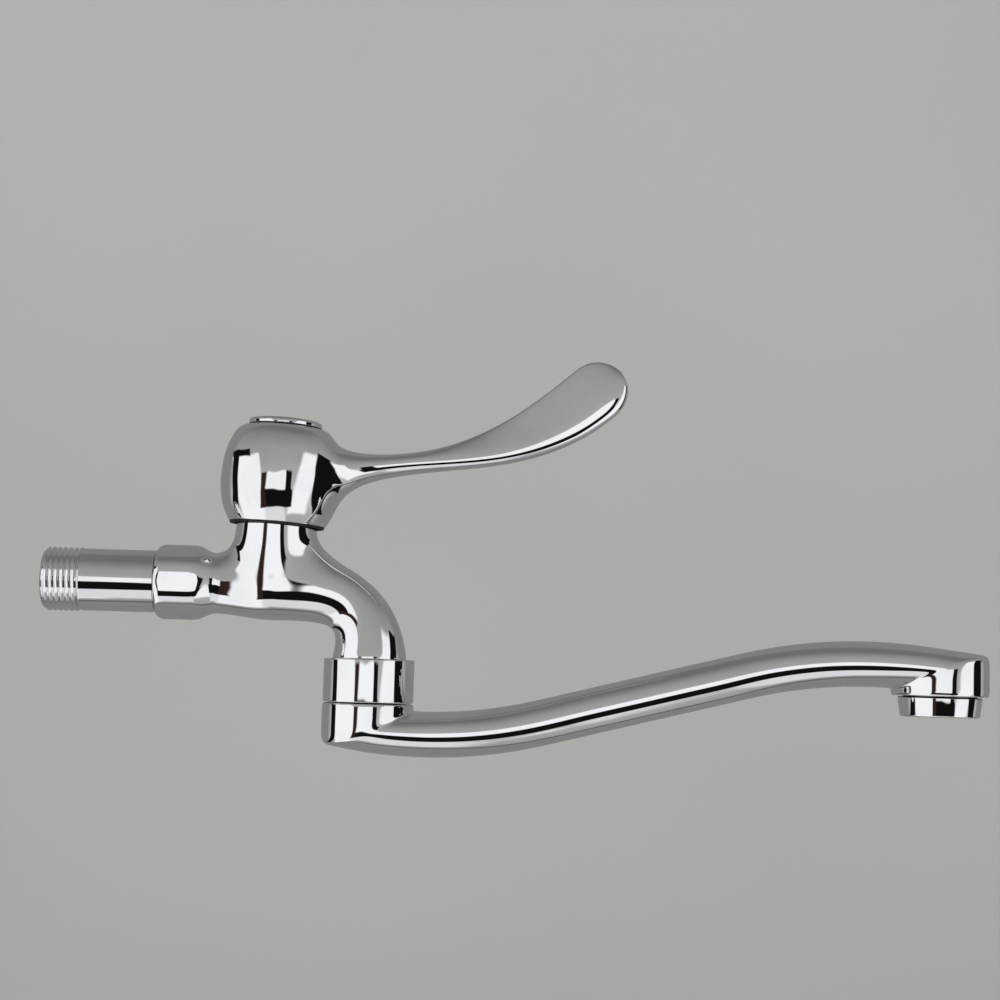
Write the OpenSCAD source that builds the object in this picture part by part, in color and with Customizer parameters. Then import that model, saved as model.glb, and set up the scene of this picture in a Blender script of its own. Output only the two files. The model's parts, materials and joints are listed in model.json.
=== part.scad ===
// Wall-mounted cold-water lever tap with a swing spout, in millimetres.
// X points out of the wall along the inlet and Z points up. The origin lies
// on the inlet axis, where the pipe thread ends and the plain pipe begins.

/* [Inlet nipple] */
// Major diameter of the half-inch pipe thread
inlet_thread_d = 20.955; // [16.66:0.005:26.44]
// Length of the pipe thread
inlet_thread_len = 12; // [8:0.5:20]
// Chamfer at the start of the pipe thread
inlet_chamfer = 1.2; // [0.5:0.1:2]
// Outside diameter of the plain pipe
pipe_d = 20.4; // [18:0.1:22]
// Length of the plain pipe
pipe_len = 25; // [15:0.5:60]
// Bore of the nipple
pipe_bore_d = 13; // [8:0.5:13.5]
// Diameter of the threaded spigot inside the hexagonal socket
spigot_d = 16.8; // [15:0.1:18]
// Length of the threaded spigot
spigot_len = 9; // [6:0.5:10]
// Thickness of the gasket at the end of the spigot
nipple_gasket_t = 1.5; // [1:0.1:2.5]

/* [Tap body] */
// Hexagon size across flats
hex_af = 22.4; // [21:0.1:27]
// Hexagon size across its rounded corners
hex_corner_d = 25.6; // [23:0.1:29]
// Length of the hexagonal socket
hex_len = 13.5; // [12:0.5:18]
// Length of the cone between the hexagon and the waist
hex_cone_len = 6; // [4:0.5:8]
// Diameter of the waist behind the hexagon
waist_d = 19.8; // [17:0.1:22]
// Diameter of the barrel under the valve
barrel_d = 23.2; // [21:0.1:26]
// Bulge on each side of the barrel round the valve
chamber_swell = 2.2; // [0:0.1:3]
// Distance along the barrel over which the bulge fades
chamber_run = 10; // [7:0.1:14]
// Distance from the hexagon's inlet face to the valve axis
valve_out = 37.6; // [34:0.1:46]
// Forward lean of the valve axis in degrees
valve_lean = 2.8; // [0:0.1:6]
// Diameter of the neck
neck_d = 26.2; // [24.5:0.1:30]
// Height of the neck's top face above the inlet axis
neck_top = 23; // [20:0.5:30]
// Radius of the blend between neck and barrel
neck_blend = 7; // [3:0.1:8]
// Height of the valve seat above the inlet axis
seat_height = 3; // [2:0.1:4]
// Thickness of the web under the valve seat
seat_web = 3.4; // [3:0.1:4]
// Bore of the valve seat
seat_bore_d = 8.4; // [6:0.1:9]
// Distance from the valve axis to the swivel axis
tail_out = 33.1; // [28:0.1:45]
// Drop from the inlet axis to the top of the swivel nut
tail_drop = 23.5; // [20:0.1:35]
// Narrowest diameter of the curved tail
tail_d = 19.4; // [18:0.1:22]
// Diameter of the tail's end and of its thread
tail_end_d = 24; // [23:0.1:27]
// Bore of the tail that takes the spout's shank
tail_bore_d = 17.2; // [15.5:0.1:18]
// Bore of the water passages in the casting
passage_d = 10; // [7:0.1:10.5]

/* [Headwork] */
// Diameter of the headwork's thread in the neck
headwork_thread_d = 20.6; // [19.5:0.1:21.5]
// Depth of the headwork's thread below the neck's top face
headwork_thread_len = 9; // [7:0.5:9.5]
// Diameter of the headwork's sleeve around the discs
sleeve_d = 17; // [16:0.1:18]
// Headwork hexagon size across flats
headwork_hex_af = 19; // [17:0.5:21]
// Height of the headwork's hexagon
headwork_hex_h = 5; // [4:0.5:6]
// Diameter of the spindle guide above the hexagon
guide_d = 13; // [11:0.5:14]
// Height of the spindle guide above the hexagon
guide_h = 4.5; // [3.5:0.5:6]
// Thickness of the gasket under the headwork's hexagon
housing_gasket_t = 1; // [0.6:0.1:1.5]
// Thickness of the gasket on the valve seat
seat_gasket_t = 1.5; // [1:0.1:2]
// Diameter of the two ceramic discs
disc_d = 14; // [12.5:0.1:14.5]
// Thickness of each ceramic disc
disc_t = 3; // [2.4:0.1:3.4]
// Diameter of the spindle's shaft
spindle_d = 8.4; // [7.6:0.1:9]
// Thickness of the spindle's flange
spindle_flange_t = 1.6; // [1.2:0.1:2]
// Width of the tongue that drives the upper disc
tongue_w = 4; // [3:0.1:5]
// Thickness of the slip washer above the spindle's flange
slip_washer_t = 1; // [0.6:0.1:1.4]
// Number of teeth on the spindle's splined head
spline_teeth = 20; // [16:1:24]
// Length of the splined head
spline_len = 9.5; // [8:0.5:11]
// Section of the spindle's O-rings
spindle_ring_t = 1.3; // [1:0.1:1.5]
// Thickness of the spring clip on the spindle
clip_t = 0.8; // [0.5:0.1:1]

/* [Handle] */
// Diameter of the dome at its widest
dome_d = 39.8; // [37:0.1:46]
// Height of the dome
dome_h = 32.2; // [31.5:0.1:38]
// Height of the widest place above the dome's rim
dome_belly_h = 14.9; // [12:0.1:18]
// Diameter of the dome's rim
dome_rim_d = 31.8; // [30.5:0.1:35]
// Diameter of the dome's flat top
dome_crown_d = 25.4; // [24.5:0.1:30]
// Depth by which the dome hangs over the neck
dome_overlap = 2.9; // [1.5:0.1:5]
// Diameter of the dome's hollow
dome_hollow_d = 28.8; // [28:0.1:29.5]
// Distance from the valve axis to the lever's tip
lever_reach = 109.2; // [85:0.1:140]
// Height of the lever's root above the dome's rim
lever_root_h = 19.6; // [16:0.1:23]
// Height of the lever's tip above its root
lever_rise = 40.6; // [20:0.1:55]
// Height of the lever at its slimmest
lever_neck_h = 6.9; // [5:0.1:9]
// Thickness of the lever at its slimmest
lever_neck_t = 7.6; // [5:0.1:9]
// Height of the leaf at the lever's end
leaf_h = 20; // [12:0.1:28]
// Thickness of the leaf
leaf_t = 6.6; // [4:0.1:9]
// Height by which the lever's root flares into the dome
root_flare_h = 25; // [15:0.1:26]
// Width by which the lever's root flares into the dome
root_flare_w = 20; // [10:0.1:21]
// Diameter of the index cap
cap_d = 24.3; // [22:0.1:25]
// Thickness of the index cap at its edge
cap_edge_t = 2.2; // [1.2:0.1:3]
// Rise of the index cap's crown
cap_crown = 1.1; // [0.5:0.1:2]
// Diameter of the recess under the index cap
cap_recess_d = 19; // [16:0.1:21]
// Length of the index cap's plug
cap_plug_len = 2.4; // [1.5:0.1:3]
// Diameter of the handle screw
screw_d = 4; // [3:0.5:5]
// Diameter of the handle screw's head
screw_head_d = 7.6; // [6:0.1:9]
// Height of the handle screw's head
screw_head_h = 2.6; // [2:0.1:3]

/* [Swivel] */
// Diameter of the swivel nut
nut_d = 29.7; // [28.5:0.1:34]
// Height of the swivel nut
nut_h = 14.1; // [12:0.1:20]
// Thickness of the nut's lower flange
nut_flange_t = 2.9; // [2:0.1:4]
// Thickness of the washer above the retaining ring
swivel_washer_t = 1; // [0.6:0.1:1.5]
// Thickness of the split retaining ring
retaining_ring_t = 1.4; // [1:0.1:2]
// Outside diameter of the split retaining ring
retaining_ring_d = 21; // [19.5:0.1:22]
// Gap between the swivel nut and the spout's foot
swivel_gap = 0.35; // [0.3:0.05:1]
// Section of the O-rings on the spout's shank
shank_ring_t = 2; // [1.5:0.1:2.4]

/* [Spout] */
// Distance from the swivel axis to the outlet axis
spout_reach = 187.8; // [150:0.1:260]
// Diameter of the foot
foot_d = 30; // [28.5:0.1:36]
// Drop from the foot's top face to the tube's lowest centre
tube_sink = 9.6; // [8.5:0.1:14]
// Outside diameter of the tube
tube_d = 15; // [12:0.1:16]
// Widening of the foot's radius towards its lower edge
foot_draft = 0.7; // [0:0.1:1.5]
// Radius on the foot's lower edge
foot_round = 3; // [1:0.1:5]
// Bore of the tube
tube_bore_d = 12; // [9:0.1:13]
// Slope of the tube's straight stretch in degrees
tube_slope = 14.5; // [5:0.1:22]
// Bend radius of the tube near the foot
lower_bend_r = 150; // [100:1:190]
// Bend radius of the tube near the outlet
upper_bend_r = 155; // [100:1:190]
// Distance from the swivel axis to the tube's lowest place
low_point_out = 18.8; // [10:0.1:25]
// Distance from the tube's highest place to the outlet axis
high_point_back = 24.5; // [15:0.1:35]
// Length over which the tube widens into the foot or the boss
tube_taper_len = 68; // [40:1:72]
// Diameter of the outlet boss
boss_d = 31.9; // [29.5:0.1:36]
// Drop from the tube's highest centre to the boss's lower face
boss_drop = 9.9; // [8.8:0.1:14]
// Radius on the boss's top edge
boss_round = 3.5; // [2:0.1:5]
// Length of the shank above the foot
shank_len = 18.6; // [17:0.1:19.5]
// Bore of the shank
shank_bore_d = 11.6; // [9:0.1:12]

/* [Aerator] */
// Diameter of the aerator's collar
aerator_d = 27.5; // [26:0.1:29]
// Height of the aerator's collar
aerator_h = 6.5; // [5:0.1:9]
// Gap between the boss and the aerator's collar
aerator_gap = 0.3; // [0.1:0.05:0.6]
// Diameter of the aerator's thread
aerator_thread_d = 24; // [22:0.1:25]
// Length of the aerator's thread
aerator_thread_len = 6; // [4.5:0.1:6.5]
// Thickness of the washer above the aerator
aerator_washer_t = 1.2; // [0.8:0.1:1.6]
// Thickness of the strainer
strainer_t = 0.6; // [0.4:0.1:1]
// Thickness of the outlet mesh
mesh_t = 1.2; // [0.8:0.1:2]

/* [Clearances] */
// Radial clearance of a screwed joint
thread_gap = 0.1; // [0.05:0.05:0.2]
// Radial clearance of the spindle in its guide
spindle_gap = 0.05; // [0.02:0.01:0.1]
// Clearance between faces that slide on each other
slide_gap = 0.1; // [0.05:0.05:0.2]
// Radial clearance of the shank in the tail
shank_gap = 0.3; // [0.2:0.05:0.5]

/* [Hidden] */
$fn = 72;
bend_steps = 12;
flare_steps = 16;
keel_steps = 4;
bore_steps = 26;
eps = 0.01;
corner_swell = 0.6;

// Shoulder of the tail above the swivel nut
shoulder_d = tail_end_d + 0.4;
shoulder_gap = 0.25;

// Places along the inlet
hex_face_x = pipe_len;
hex_end_x = hex_face_x + hex_len;
waist_x = hex_end_x + hex_cone_len;
valve_x = hex_face_x + valve_out;
swivel_x = valve_x + tail_out;
socket_end_x = hex_face_x + spigot_len + nipple_gasket_t;
outlet_x = swivel_x + spout_reach;

// Heights along the valve axis
seat_gasket_top = seat_height + seat_gasket_t;
disc_split = seat_gasket_top + disc_t;
disc_top = disc_split + slide_gap + disc_t;
tongue_h = 2;
tongue_in_disc = 1;
flange_base = disc_top - tongue_in_disc + tongue_h;
flange_top = flange_base + spindle_flange_t;
slip_base = flange_top + slide_gap;
chamber_top = slip_base + slip_washer_t;
thread_base = neck_top - headwork_thread_len;
housing_hex_base = neck_top + housing_gasket_t;
housing_hex_top = housing_hex_base + headwork_hex_h;
guide_top = housing_hex_top + guide_h;
clip_base = guide_top + slide_gap;
spline_base = clip_base + clip_t + 0.6;
spline_top = spline_base + spline_len;
handle_floor_base = spline_top + 0.4;
handle_floor_t = 2.4;
recess_floor = handle_floor_base + handle_floor_t;
dome_rim = neck_top - dome_overlap;
dome_top = dome_rim + dome_h;
dome_belly = dome_rim + dome_belly_h;
hollow_top = handle_floor_base - 2;
neck_fillet_top = barrel_d / 2 + neck_blend;
neck_sink = 0.3;
hub_base = spline_base + 0.3;
hub_d = spindle_d + 6;
screw_reach = 7;
spline_r = spindle_d / 2 - 0.2;
spline_depth = 0.5;
ring_heights = [housing_hex_base + 1.2, housing_hex_top + 1];

// Heights along the swivel axis
nut_top_z = -tail_drop;
nut_bottom_z = nut_top_z - nut_h;
flange_top_z = nut_bottom_z + nut_flange_t;
ring_bottom_z = flange_top_z + slide_gap;
ring_top_z = ring_bottom_z + retaining_ring_t;
washer_bottom_z = ring_top_z + slide_gap;
tail_end_z = washer_bottom_z + swivel_washer_t;
foot_top_z = nut_bottom_z - swivel_gap;
shank_d = tail_bore_d - 2 * shank_gap;
shank_top_z = foot_top_z + shank_len;
tail_bore_top_z = shank_top_z + 1;
ring_groove_d = shank_d - 2;
shank_ring_heights = [tail_end_z + 3.2, tail_end_z + 7.4];

// Course of the spout's tube: lower bend, straight stretch, upper bend
low_x = swivel_x + low_point_out;
low_z = foot_top_z - tube_sink;
high_x = outlet_x - high_point_back;
bend_run = (lower_bend_r + upper_bend_r) * sin(tube_slope);
straight_len = (high_x - low_x - bend_run) / cos(tube_slope);
bend_rise = (lower_bend_r + upper_bend_r) * (1 - cos(tube_slope));
high_z = low_z + bend_rise + straight_len * sin(tube_slope);
foot_angle = asin(low_point_out / lower_bend_r);
outlet_angle = asin(high_point_back / upper_bend_r);
outlet_centre_z = high_z - upper_bend_r * (1 - cos(outlet_angle));
boss_bottom_z = high_z - boss_drop;
aerator_top_z = boss_bottom_z - aerator_gap;
aerator_bottom_z = aerator_top_z - aerator_h;
aerator_thread_top_z = boss_bottom_z + aerator_thread_len;
aerator_seat_z = aerator_thread_top_z + aerator_washer_t;
aerator_bore_d = aerator_thread_d - 3;
aerator_lip_d = aerator_bore_d - 2.4;
aerator_lip_z = aerator_bottom_z + 1.6;
insert_base_z = aerator_lip_z + mesh_t;
flare_inset = 0.2;
keel_len = 0.34 * foot_d;
keel_fade = 1.6;
boss_slant = 0.75;

chrome = [0.80, 0.81, 0.82];
brass = [0.78, 0.62, 0.30];
rubber = [0.08, 0.08, 0.09];
ceramic = [0.93, 0.92, 0.88];
white_plastic = [0.90, 0.90, 0.88];
steel = [0.62, 0.63, 0.65];

function smooth(t) = let (u = min(max(t, 0), 1)) u * u * (3 - 2 * u);
function bezier(p, t) =
    pow(1 - t, 3) * p[0] + 3 * pow(1 - t, 2) * t * p[1] + 3 * (1 - t) * t * t * p[2] + pow(t, 3) * p[3];
function bezier_slope(p, t) =
    let (d = pow(1 - t, 2) * (p[1] - p[0]) + 2 * (1 - t) * t * (p[2] - p[1]) + t * t * (p[3] - p[2]))
    atan2(d[1], d[0]);

// One round or oval ring of points, square to a path in the XZ plane
function ring(centre, slope, half_w, half_h, lean, sides) = [
    for (i = [0 : sides - 1])
        let (
            a = 360 * i / sides,
            across = half_w * cos(a) * (1 - lean * sin(a)),
            up = half_h * sin(a)
        )
        [centre[0] - up * sin(slope), across, centre[1] + up * cos(slope)]
];

// Closed skin over a row of rings
module skin(rings) {
    sides = len(rings[0]);
    last = (len(rings) - 1) * sides;
    walls = [
        for (i = [0 : len(rings) - 2], j = [0 : sides - 1])
            let (a = i * sides + j, b = i * sides + (j + 1) % sides)
            each [[a, b + sides, b], [a, a + sides, b + sides]]
    ];
    first_cap = [for (j = [1 : sides - 2]) [0, j, j + 1]];
    last_cap = [for (j = [1 : sides - 2]) [last, last + j + 1, last + j]];
    polyhedron([for (r = rings) each r], concat(walls, first_cap, last_cap));
}

module along_inlet(x) {
    translate([x, 0, 0]) rotate([0, 90, 0]) children();
}

module on_valve_axis(height) {
    translate([valve_x, 0, 0]) rotate([0, valve_lean, 0]) translate([0, 0, height]) children();
}

module on_swivel_axis(z) {
    translate([swivel_x, 0, z]) children();
}

module on_outlet_axis(z) {
    translate([outlet_x, 0, z]) children();
}

module washer(d_out, d_in, t) {
    difference() {
        cylinder(d = d_out, h = t);
        translate([0, 0, -1]) cylinder(d = d_in, h = t + 2);
    }
}

module o_ring(d_in, section) {
    rotate_extrude() translate([d_in / 2 + section / 2, 0]) circle(d = section);
}

// Inlet nipple and its gasket

module inlet_nipple() {
    thread_r = inlet_thread_d / 2;
    color(chrome) difference() {
        along_inlet(0) rotate_extrude() polygon([
            [0, -inlet_thread_len],
            [thread_r - inlet_chamfer, -inlet_thread_len],
            [thread_r, inlet_chamfer - inlet_thread_len],
            [thread_r, 0],
            [pipe_d / 2, 0],
            [pipe_d / 2, pipe_len],
            [spigot_d / 2, pipe_len],
            [spigot_d / 2, pipe_len + spigot_len],
            [0, pipe_len + spigot_len]
        ]);
        along_inlet(-inlet_thread_len - 1)
            cylinder(d = pipe_bore_d, h = inlet_thread_len + pipe_len + spigot_len + 2);
    }
}

module nipple_gasket() {
    color(rubber) along_inlet(pipe_len + spigot_len) washer(spigot_d, pipe_bore_d, nipple_gasket_t);
}

// Tap body: hexagonal socket, barrel, neck and curved tail

function barrel_ring(x) =
    ring([x, 0], 0, barrel_half(x) + chamber_bulge(x), barrel_half(x), 0, 36);
function barrel_half(x) =
    (waist_d + (barrel_d - waist_d) * smooth((x - waist_x) / (valve_x - waist_x))) / 2;
function chamber_bulge(x) = chamber_swell * exp(-pow((x - valve_x) / chamber_run, 2));
tail_path = [
    [valve_x, 0],
    [valve_x + 0.80 * tail_out, 0.02 * tail_drop],
    [swivel_x, -0.40 * tail_drop],
    [swivel_x, nut_top_z + shoulder_gap]
];
tail_slim_at = 0.5;
function tail_half(t) = t < tail_slim_at
    ? (barrel_d + (tail_d - barrel_d) * smooth(t / tail_slim_at)) / 2
    : (tail_d + (shoulder_d - tail_d) * pow((t - tail_slim_at) / (1 - tail_slim_at), 1.5)) / 2;

module barrel_and_tail() {
    barrel_steps = 8;
    skin(concat(
        [for (i = [0 : barrel_steps - 1]) barrel_ring(waist_x + (valve_x - waist_x) * i / barrel_steps)],
        [
            for (i = [0 : tail_steps])
                let (t = i / tail_steps, place = bezier(tail_path, t))
                ring(place, bezier_slope(tail_path, t), tail_half(t) + chamber_bulge(place[0]), tail_half(t), 0, 36)
        ]
    ));
}

module hex_socket() {
    corner_r = hex_corner_d / 2;
    flat_r = hex_af / 2;
    chamfer = 1.6;
    intersection() {
        along_inlet(hex_face_x) cylinder(d = hex_af / cos(30), h = hex_len + hex_cone_len, $fn = 6);
        along_inlet(hex_face_x) rotate_extrude() polygon([
            [0, 0],
            [flat_r - 0.4, 0],
            [corner_r, chamfer],
            [corner_r, hex_len - 1],
            [waist_d / 2 + 0.2, hex_len + hex_cone_len],
            [0, hex_len + hex_cone_len]
        ]);
    }
    along_inlet(hex_end_x - 1) cylinder(d1 = hex_af - 0.8, d2 = waist_d - 0.2, h = hex_cone_len + 4);
}

// Height of the casting's middle and its two half sizes, at a distance before or behind the valve axis
tail_steps = 18;
tail_marks = [for (i = [0 : tail_steps]) [bezier(tail_path, i / tail_steps)[0] - valve_x, i / tail_steps]];
function casting_at(out) =
    let (t = lookup(out, tail_marks), bulge = chamber_bulge(valve_x + out))
    out < 0
        ? [0, barrel_half(valve_x + out) + bulge, barrel_half(valve_x + out)]
        : [bezier(tail_path, t)[1], tail_half(t) + bulge, tail_half(t) / cos(bezier_slope(tail_path, t))];

// Neck: upright sleeve that runs down into the barrel in one fillet. Round the valve axis, each
// turn angle has its own curve, from a touchdown on the barrel up to the neck's straight wall.
function neck_touchdown(turn) =
    let (
        fore_aft = neck_d / 2 + neck_blend,
        sideways = barrel_d / 2 + chamber_swell - neck_sink,
        reach = 1 / norm([cos(turn) / fore_aft, sin(turn) / sideways]),
        out = reach * cos(turn),
        casting = casting_at(out),
        share = min(1, reach * abs(sin(turn)) / casting[1]),
        top = casting[0] + casting[2] * sqrt(1 - share * share)
    )
    [reach, top + out * tan(valve_lean) - neck_sink];
function neck_curve(turn) =
    let (
        foot = neck_touchdown(turn),
        along = [-pow(cos(turn), 2), pow(sin(turn), 2)],
        pull = 0.5 * norm([foot[0] - neck_d / 2, neck_fillet_top - foot[1]])
    )
    [
        foot,
        foot + pull * along / norm(along),
        [neck_d / 2, neck_fillet_top - pull],
        [neck_d / 2, neck_fillet_top]
    ];
function turned(place, turn) = [place[0] * cos(turn), place[0] * sin(turn), place[1]];

module neck() {
    sides = 48;
    steps = 8;
    turns = [for (i = [0 : sides - 1]) 360 * i / sides];
    on_valve_axis(0) skin(concat(
        [[for (turn = turns) turned([0.7 * neck_touchdown(turn)[0], 0], turn)]],
        [for (i = [0 : steps]) [for (turn = turns) turned(bezier(neck_curve(turn), i / steps), turn)]],
        [[for (turn = turns) turned([neck_d / 2, neck_top], turn)]]
    ));
}

// Straight bore between two places in the XZ plane, with a slightly wider rounded start
module passage(from, to, d) {
    run = to - from;
    translate([from[0], 0, from[1]]) {
        rotate([0, 90 - atan2(run[1], run[0]), 0]) cylinder(d = d, h = norm(run));
        sphere(d = d + corner_swell);
    }
}

module waterways() {
    lower = seat_height - seat_web;
    inlet_d = passage_d - 1.4;
    under_seat = [valve_x, lower - inlet_d / 2 - 0.5];
    chamber_side = [valve_x + 3, seat_height + passage_d / 2];
    tail_bend = [valve_x + 0.72 * tail_out, -0.06 * tail_drop];
    tail_entry = [swivel_x, tail_bore_top_z + 1];
    along_inlet(hex_face_x - 1) cylinder(d = spigot_d + 2 * thread_gap, h = socket_end_x - hex_face_x + 1);
    along_inlet(socket_end_x - 1) cylinder(d = pipe_bore_d - 1, h = waist_x + 1 - socket_end_x);
    passage([waist_x - 1, -1.5], under_seat, inlet_d);
    on_valve_axis(lower - inlet_d / 2) cylinder(d = seat_bore_d, h = seat_height + inlet_d);
    translate([under_seat[0], 0, under_seat[1]]) sphere(d = inlet_d + corner_swell);
    on_valve_axis(seat_height) cylinder(d = sleeve_d + 0.8, h = neck_top - seat_height + 1);
    on_valve_axis(thread_base) cylinder(d = headwork_thread_d + 2 * thread_gap, h = headwork_thread_len + 1);
    passage(chamber_side, tail_bend, passage_d);
    passage(tail_bend, tail_entry, passage_d);
    on_swivel_axis(tail_end_z - 1) cylinder(d = tail_bore_d, h = tail_bore_top_z - tail_end_z + 1);
}

module tap_body() {
    color(chrome) difference() {
        union() {
            hex_socket();
            barrel_and_tail();
            neck();
            on_swivel_axis(tail_end_z) cylinder(d = tail_end_d, h = nut_top_z - tail_end_z + 1);
        }
        waterways();
    }
}

// Headwork with its ceramic discs, spindle and seals

module cartridge_housing() {
    chamber_d = disc_d + 0.4;
    window_w = 8;
    color(brass) on_valve_axis(0) difference() {
        union() {
            translate([0, 0, seat_gasket_top]) cylinder(d = sleeve_d, h = neck_top - seat_gasket_top);
            translate([0, 0, thread_base + 0.4])
                cylinder(d = headwork_thread_d, h = housing_hex_base - thread_base - 0.4);
            translate([0, 0, housing_hex_base])
                cylinder(d = headwork_hex_af / cos(30), h = headwork_hex_h, $fn = 6);
            translate([0, 0, housing_hex_base]) cylinder(d = neck_d - 1, h = 1.4);
            translate([0, 0, housing_hex_top - 1]) cylinder(d = guide_d, h = guide_h + 1);
        }
        translate([0, 0, seat_gasket_top - 1]) cylinder(d = chamber_d, h = chamber_top - seat_gasket_top + 1);
        translate([0, 0, chamber_top - 1]) cylinder(d = spindle_d + 2 * spindle_gap, h = guide_top);
        translate([-sleeve_d, -window_w / 2, disc_split + 0.6])
            cube([2 * sleeve_d, window_w, flange_base - disc_split - 0.6]);
    }
}

module housing_gasket() {
    color(rubber) on_valve_axis(neck_top) washer(neck_d - 1, headwork_thread_d + 0.2, housing_gasket_t);
}

module seat_gasket() {
    color(rubber) on_valve_axis(seat_height) washer(sleeve_d, seat_bore_d + 0.6, seat_gasket_t);
}

// Two opposite quarter ports, given as the angle of their middle
module ports(middle, h) {
    inner_r = 1.2;
    outer_r = disc_d / 2 - 1.2;
    for (side = [0, 180])
        rotate([0, 0, middle + side - 40]) rotate_extrude(angle = 80)
            translate([inner_r, 0]) square([outer_r - inner_r, h]);
}

module fixed_disc() {
    color(ceramic) on_valve_axis(seat_gasket_top) difference() {
        cylinder(d = disc_d, h = disc_t);
        translate([0, 0, -1]) ports(0, disc_t + 2);
    }
}

module rotating_disc() {
    tongue_slot = tongue_w + 0.1;
    color(ceramic) on_valve_axis(disc_split + slide_gap) difference() {
        cylinder(d = disc_d - 0.2, h = disc_t);
        translate([0, 0, -1]) ports(90, disc_t + 2);
        translate([-disc_d, -tongue_slot / 2, disc_t - tongue_in_disc])
            cube([2 * disc_d, tongue_slot, disc_t]);
    }
}

module slip_washer() {
    color(white_plastic) on_valve_axis(slip_base)
        washer(disc_d, spindle_d + 0.6, slip_washer_t);
}

// Outline of the splined head: a row of rounded teeth
module spline_outline(r) {
    polygon([
        for (i = [0 : spline_teeth - 1], step = [[0, 0], [0.25, 1], [0.5, 1], [0.75, 0]])
            let (a = 360 * (i + step[0]) / spline_teeth, d = r - spline_depth * (1 - step[1]))
            [d * cos(a), d * sin(a)]
    ]);
}

module spindle() {
    groove_r = spindle_d / 2 + spindle_gap - spindle_ring_t;
    groove_h = spindle_ring_t + 0.2;
    clip_groove_r = spindle_d / 2 - 0.8;
    color(brass) on_valve_axis(0) difference() {
        union() {
            translate([1 - disc_d / 2, -tongue_w / 2, disc_top - tongue_in_disc])
                cube([disc_d - 2, tongue_w, tongue_h + 0.2]);
            translate([0, 0, flange_base]) cylinder(d = disc_d - 0.6, h = spindle_flange_t);
            translate([0, 0, flange_top - eps]) cylinder(d = spindle_d, h = spline_base - flange_top + eps);
            translate([0, 0, spline_base - eps]) linear_extrude(spline_len + eps) spline_outline(spline_r);
        }
        for (h = ring_heights)
            translate([0, 0, h - groove_h / 2]) washer(spindle_d + 1, 2 * groove_r, groove_h);
        translate([0, 0, clip_base]) washer(spindle_d + 1, 2 * clip_groove_r, clip_t + 0.1);
        translate([0, 0, spline_top - screw_reach - 2]) cylinder(d = screw_d + 0.1, h = screw_reach + 3);
    }
}

module spindle_orings() {
    play = 0.02;
    groove_d = spindle_d + 2 * (spindle_gap - spindle_ring_t);
    color(rubber) for (h = ring_heights)
        on_valve_axis(h) o_ring(groove_d + 2 * play, spindle_ring_t - 2 * play);
}

module spindle_clip() {
    clip_in_d = spindle_d - 1.5;
    color(steel) on_valve_axis(clip_base + 0.05) difference() {
        washer(spindle_d + 3, clip_in_d, clip_t);
        translate([0, -1.6, -1]) cube([spindle_d, 3.2, clip_t + 2]);
    }
}

// Handle: bell-shaped dome with a lever that grows into an upright leaf

function dome_lower_r(t) = (dome_d - (dome_d - dome_rim_d) * pow(1 - t, 2.6)) / 2;
function dome_upper_r(t) = (dome_crown_d + (dome_d - dome_crown_d) * sqrt(max(0, 1 - t * t))) / 2;

module dome() {
    on_valve_axis(0) rotate_extrude() polygon(concat(
        [[0, dome_rim]],
        [for (i = [0 : 10]) let (t = i / 10) [dome_lower_r(t), dome_rim + dome_belly_h * t]],
        [
            for (i = [1 : 12])
                let (t = sin(90 * i / 12))
                [dome_upper_r(t), dome_belly + (dome_top - dome_belly) * t]
        ],
        [[0, dome_top]]
    ));
}

lever_root = dome_rim + lever_root_h;
lever_path = [
    [13.5, lever_root],
    [0.49 * lever_reach, lever_root + 0.097 * lever_rise],
    [0.78 * lever_reach, lever_root + 0.27 * lever_rise],
    [lever_reach, lever_root + lever_rise]
];
lever_neck_at = 0.25;
leaf_full_at = 0.88;
flare_fade = 0.058;
side_flare_fade = 0.075;
tip_speed = 3 * norm(lever_path[3] - lever_path[2]);
tip_from = 1 - leaf_h / 2 / tip_speed;

function flare(t) = exp(-t / flare_fade);
function side_flare(t) = exp(-t / side_flare_fade);
function tip_round(t) = t < tip_from ? 1 : sqrt(max(0.0004, 1 - pow((t - tip_from) / (1 - tip_from), 2)));
function leaf_share(t) = smooth((t - lever_neck_at) / (leaf_full_at - lever_neck_at));
function lever_ring(t) =
    let (
        tall = lever_neck_h + (leaf_h - lever_neck_h) * leaf_share(t) + root_flare_h * flare(t),
        thick = lever_neck_t + (leaf_t - lever_neck_t) * leaf_share(t) + root_flare_w * side_flare(t),
        centre = bezier(lever_path, t) - [0, 0.16 * root_flare_h * flare(t)]
    )
    ring(centre, bezier_slope(lever_path, t), thick / 2 * tip_round(t), tall / 2 * tip_round(t),
        0.22 * leaf_share(t), 24);

module lever() {
    root_steps = 9;
    leaf_steps = 14;
    tip_steps = 6;
    on_valve_axis(0) skin([
        for (t = concat(
            [for (i = [0 : root_steps - 1]) lever_neck_at * pow(i / root_steps, 1.5)],
            [for (i = [0 : leaf_steps - 1]) lever_neck_at + (tip_from - lever_neck_at) * i / leaf_steps],
            [for (i = [0 : tip_steps]) tip_from + (1 - tip_from) * sin(90 * i / tip_steps)]
        )) lever_ring(t)
    ]);
}

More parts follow.
